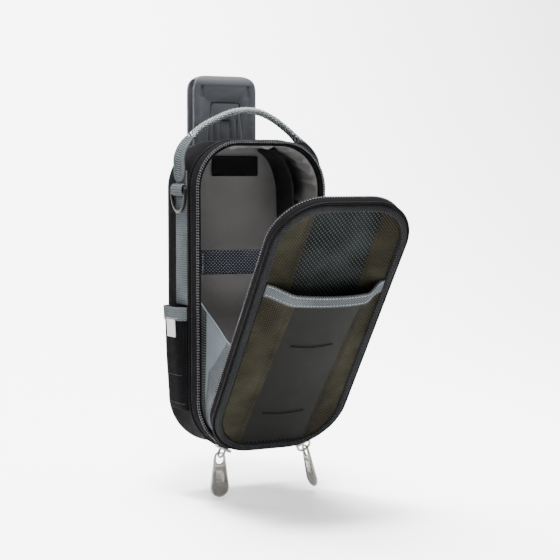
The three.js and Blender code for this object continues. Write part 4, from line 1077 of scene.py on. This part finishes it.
for side, name in ((-1, "left"), (1, "right")):
    across = np.linspace(0, 1, 30)[None, :]
    up = (0.02 + 0.98 * np.linspace(0, 1, 60))[:, None]
    x0, v0 = rim_side(body_rim, side, up, GUSSET_START, GUSSET_HIGH, 5.4 * MM)
    x1, v1 = rim_side(flap_rim, side, up, GUSSET_START, GUSSET_HIGH - HINGE_V, 3.4 * MM)
    on_shell = on_body(x0, v0, DEPTH - 4 * MM)
    on_lid = on_flap(x1, v1, 0.6 * MM)
    flat = on_shell + (on_lid - on_shell) * across[..., None]
    tuck = 4.6 * across**0.8 * (1 - across) ** 1.6
    crease = ripple(up * 7, across * 2.2, side * 3.0)
    folded = GUSSET_TUCK * up**1.2 * tuck + GUSSET_CREASE * crease * np.sin(np.pi * across)
    flat[..., 0] -= side * folded
    flat[..., 2] -= GUSSET_SAG * up**2 * np.sin(np.pi * across**0.85) ** 0.8
    obj = grid(
        f"gusset_{name}_cloth", flat, (85 * MM * across[0], up[:, 0] * GUSSET_RUN), GUSSET, thick=SOFT,
        slot="grey_lining", replaces=[f"gusset_{name}"],
    )
    shared(obj)
    gap = np.linalg.norm(on_lid - on_shell, axis=-1)
    for edge, material in (("flap", WEBBING), ("shell", PILE)):
        wide, most = TAPE_WIDE[edge]
        reach = np.clip(wide / gap, 0, most)
        shares = reach * np.linspace(0, 1, 8)[None, :]
        if edge == "flap":
            shares = 1 - shares
        strip = np.zeros((*shares.shape, 3))
        for row, row_shares in enumerate(shares):
            for axis in range(3):
                strip[row, :, axis] = np.interp(row_shares, across[0], flat[row, :, axis])
        strip[..., 0] += side * 1.0 * MM
        tape_uv = (np.linspace(0, wide, 8), up[:, 0] * GUSSET_RUN)
        tape_cloth = grid(
            f"gusset_{name}_{edge}_tape", strip, tape_uv, material, thick=SOFT, slot="grey_webbing",
        )
        shared(tape_cloth)
    hem = tube(
        f"gusset_{name}_hem", flat[-1], 0.8 * MM, GUSSET, sides=8, up=(1, 0, 0), slot="grey_lining",
    )
    shared(hem)
    declare_sheet(flat)

hinge_end = ZIP_END - math.radians(2)
hinge_reach = WIDTH / 2 - R_BOTTOM + R_BOTTOM * hinge_end
hinge_s = np.linspace(-hinge_reach, hinge_reach, 160)
shell_rows = [on_body(*body_rim.at(hinge_s, 0.4 * MM), t * MM) for t in np.linspace(48.4, 61.0, 8)]
flap_rows = [on_flap(*flap_rim.at(hinge_s, 0.4 * MM), t * MM) for t in np.linspace(1.5, 9.0, 6)]
hinge_points = np.stack([*shell_rows, (shell_rows[-1] + flap_rows[0]) / 2, *flap_rows])
hinge_cloth = grid(
    "hinge_cloth", hinge_points, (hinge_s, np.linspace(0, 24 * MM, 15)), TAPE_CLOTH, thick=SOFT,
    slot="black_cloth", replaces=["hinge_fabric"],
)
shared(hinge_cloth)
declare_sheet(hinge_points)

# ------------------------------------------------------------------ pad, clip and metal
pad_lo, pad_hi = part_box("back_pad")
PAD_T = -3.3 * MM  # where the padding lies against the back
PAD_CORNER = 26 * MM
PAD_CHANNELS = (0.25, 0.5)  # heights of the sewn channels, as shares of the pad's
pad_low = pad_lo.z - BOTTOM_Z
pad_high = pad_hi.z - BOTTOM_Z


def pad_surface(x, v):
    """How far the padding stands off the back, with sewn channels across it."""
    half = (pad_hi.x - pad_lo.x) / 2
    up_pad = (v - (pad_high + pad_low) / 2) / ((pad_high - pad_low) / 2)
    edge = np.clip(1 - np.abs(x / half) ** 8, 0, 1) * np.clip(1 - np.abs(up_pad) ** 14, 0, 1)
    channel = np.zeros_like(x)
    for share in PAD_CHANNELS:
        line = pad_low + share * (pad_high - pad_low)
        channel = np.maximum(channel, np.exp(-(((v - line) / (2.4 * MM)) ** 2)))
    under = ease((v - (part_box("clip_receiver")[0].z - BOTTOM_Z - 6 * MM)) / (5 * MM))
    return (pad_hi.y - pad_lo.y) * edge**0.45 * (1 - 0.55 * channel) - 0.8 * MM * under


PAD_COLUMNS, PAD_ROWS = 90, 200
pad_full, pad_v = np.meshgrid(
    np.linspace(pad_lo.x, pad_hi.x, PAD_COLUMNS), np.linspace(pad_low, pad_high, PAD_ROWS),
)
from_end = np.minimum(pad_v - pad_low, pad_high - pad_v)
narrow = np.clip(PAD_CORNER - from_end, 0, PAD_CORNER)
pull_in = PAD_CORNER - np.sqrt(PAD_CORNER**2 - narrow**2)
pad_x = pad_full * (1 - pull_in / pad_hi.x)
pad_rise = np.maximum(pad_surface(pad_full, pad_v), 0.2 * MM)
pad_front = on_body(pad_x, pad_v, PAD_T)
pad_back = on_body(pad_x, pad_v, PAD_T - pad_rise)
both = np.concatenate([pad_front, pad_back[:, ::-1]], axis=1)
pad_uv = np.concatenate([pad_x, pad_x[:, ::-1], pad_x[:, :1]], axis=1)
pad = grid(
    "hip_pad", both, (pad_uv, pad_v[:, 0]), BLACK_CLOTH, wrap=True, slot="black_cloth", replaces=["back_pad"],
)
cap_ends(pad, 2 * PAD_COLUMNS, PAD_ROWS)
clean(pad)
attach(pad, "pouch")
for number, share in enumerate(PAD_CHANNELS):
    x = np.linspace(pad_lo.x + 4 * MM, pad_hi.x - 4 * MM, 120)
    line = on_body(x, pad_low + share * (pad_high - pad_low), PAD_T - 0.45 * (pad_hi.y - pad_lo.y))
    stitches(f"pad_stitching_{number}", line, (0, 1, 0), DARK_THREAD, body="pouch")


def paint_recess_shade(obj, half_thick):
    """Paints shade on a flat piece's faces that lie below its rim, half_thick or less from its middle."""
    mesh = obj.data
    mesh.materials.append(RECESS_SHADE_METAL)
    points = np.array([vertex.co for vertex in mesh.vertices])
    middle = (points.min(0) + points.max(0)) / 2
    thin = np.linalg.eigh(np.cov((points - middle).T))[1][:, 0]
    for polygon in mesh.polygons:
        facing = abs(np.dot(polygon.normal, thin))
        depth = abs(np.dot(np.array(polygon.center) - middle, thin))
        if facing > 0.9 and depth < half_thick:
            polygon.material_index = 1


refined("belt_hook", "belt_clip", PLASTIC, "pouch", 1.0 * MM, "clip_plastic")
refined("hook_receiver", "clip_receiver", PLASTIC, "pouch", 0.7 * MM, "clip_plastic")
refined("hook_tongue", "release_tongue", PLASTIC, "clip_tongue", 0.4 * MM, "clip_plastic")
for number in range(1, 5):
    refined(f"rivet_head_{number}", f"rivet_{number}", GUNMETAL, "pouch", 0.2 * MM, "gunmetal")
for side in ("left", "right"):
    refined(f"slider_shoe_{side}", f"slider_{side}", GUNMETAL, f"zip_slider_{side}", 0.15 * MM, "gunmetal")
    pull = refined(f"puller_{side}", f"pull_{side}", GUNMETAL, f"zip_pull_{side}", 0.15 * MM, "gunmetal")
    # painted shade: the pull's recessed faces get the darker metal
    paint_recess_shade(pull, 0.9 * MM)

# ------------------------------------------------------------------ room, lights and camera
model_lo, model_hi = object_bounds()
centre = (model_lo + model_hi) / 2
floor_z = model_lo.z - 4 * MM
WALL_Y = 1.6
BEND = 1.2
sweep = [(-3.0, 0.0), (WALL_Y - BEND, 0.0)]
for angle in np.linspace(0.1, 0.5 * math.pi, 20):
    sweep.append((WALL_Y - BEND * (1 - math.sin(angle)), BEND * (1 - math.cos(angle))))
sweep += [(WALL_Y, 5.0)]
paper_x = np.array([-6.0, 6.0])
paper = Nodes("pale_paper")
paper.shader.inputs["Base Color"].default_value = (0.93, 0.93, 0.93, 1)
paper.shader.inputs["Roughness"].default_value = 0.95
backdrop = grid(
    "backdrop", np.array([[(x, y, floor_z + z) for x in paper_x] for y, z in sweep]),
    (paper_x, np.array([y + z for y, z in sweep])), paper.material,
)

world = bpy.data.worlds.new("studio")
bpy.context.scene.world = world
world.use_nodes = True
world.node_tree.nodes["Background"].inputs[0].default_value = (0.97, 0.98, 1.0, 1)
world.node_tree.nodes["Background"].inputs[1].default_value = 0.42


def lamp(name, offset, size, watts, towards=(0, 0, 0)):
    """A soft square lamp, placed and aimed by offsets from the middle of the pouch."""
    light = bpy.data.lights.new(name, "AREA")
    light.shape = "SQUARE"
    light.size = size
    light.energy = watts
    obj = bpy.data.objects.new(name, light)
    obj.location = centre + Vector(offset)
    obj.rotation_euler = (Vector(towards) - Vector(offset)).to_track_quat("-Z", "Y").to_euler()
    bpy.context.scene.collection.objects.link(obj)


lamp("key", (-0.7, -1.2, 1.6), 0.7, 42)
lamp("overhead", (-0.12, -0.25, 1.5), 0.3, 72)
lamp("fill", (1.5, -1.1, 0.5), 1.2, 12)
lamp("backdrop_wash", (0.0, 0.5, 2.0), 1.6, 260, towards=(0, 1.6, 0.2))

AZIMUTH = math.radians(-27.6)
ELEVATION = math.radians(3.84)
DISTANCE = 1.408
aim = Vector((-0.0014, -0.1329, -0.1882))
to_camera = Vector((
    math.sin(AZIMUTH) * math.cos(ELEVATION), -math.cos(AZIMUTH) * math.cos(ELEVATION), math.sin(ELEVATION),
))
lens = bpy.data.cameras.new("camera")
lens.lens = 99.1
lens.sensor_width = 36
lens.shift_x = -0.005
lens.shift_y = -0.001
camera = bpy.data.objects.new("camera", lens)
camera.location = aim + to_camera * DISTANCE
camera.rotation_euler = (-to_camera).to_track_quat("-Z", "Y").to_euler()
bpy.context.scene.collection.objects.link(camera)
bpy.context.scene.camera = camera
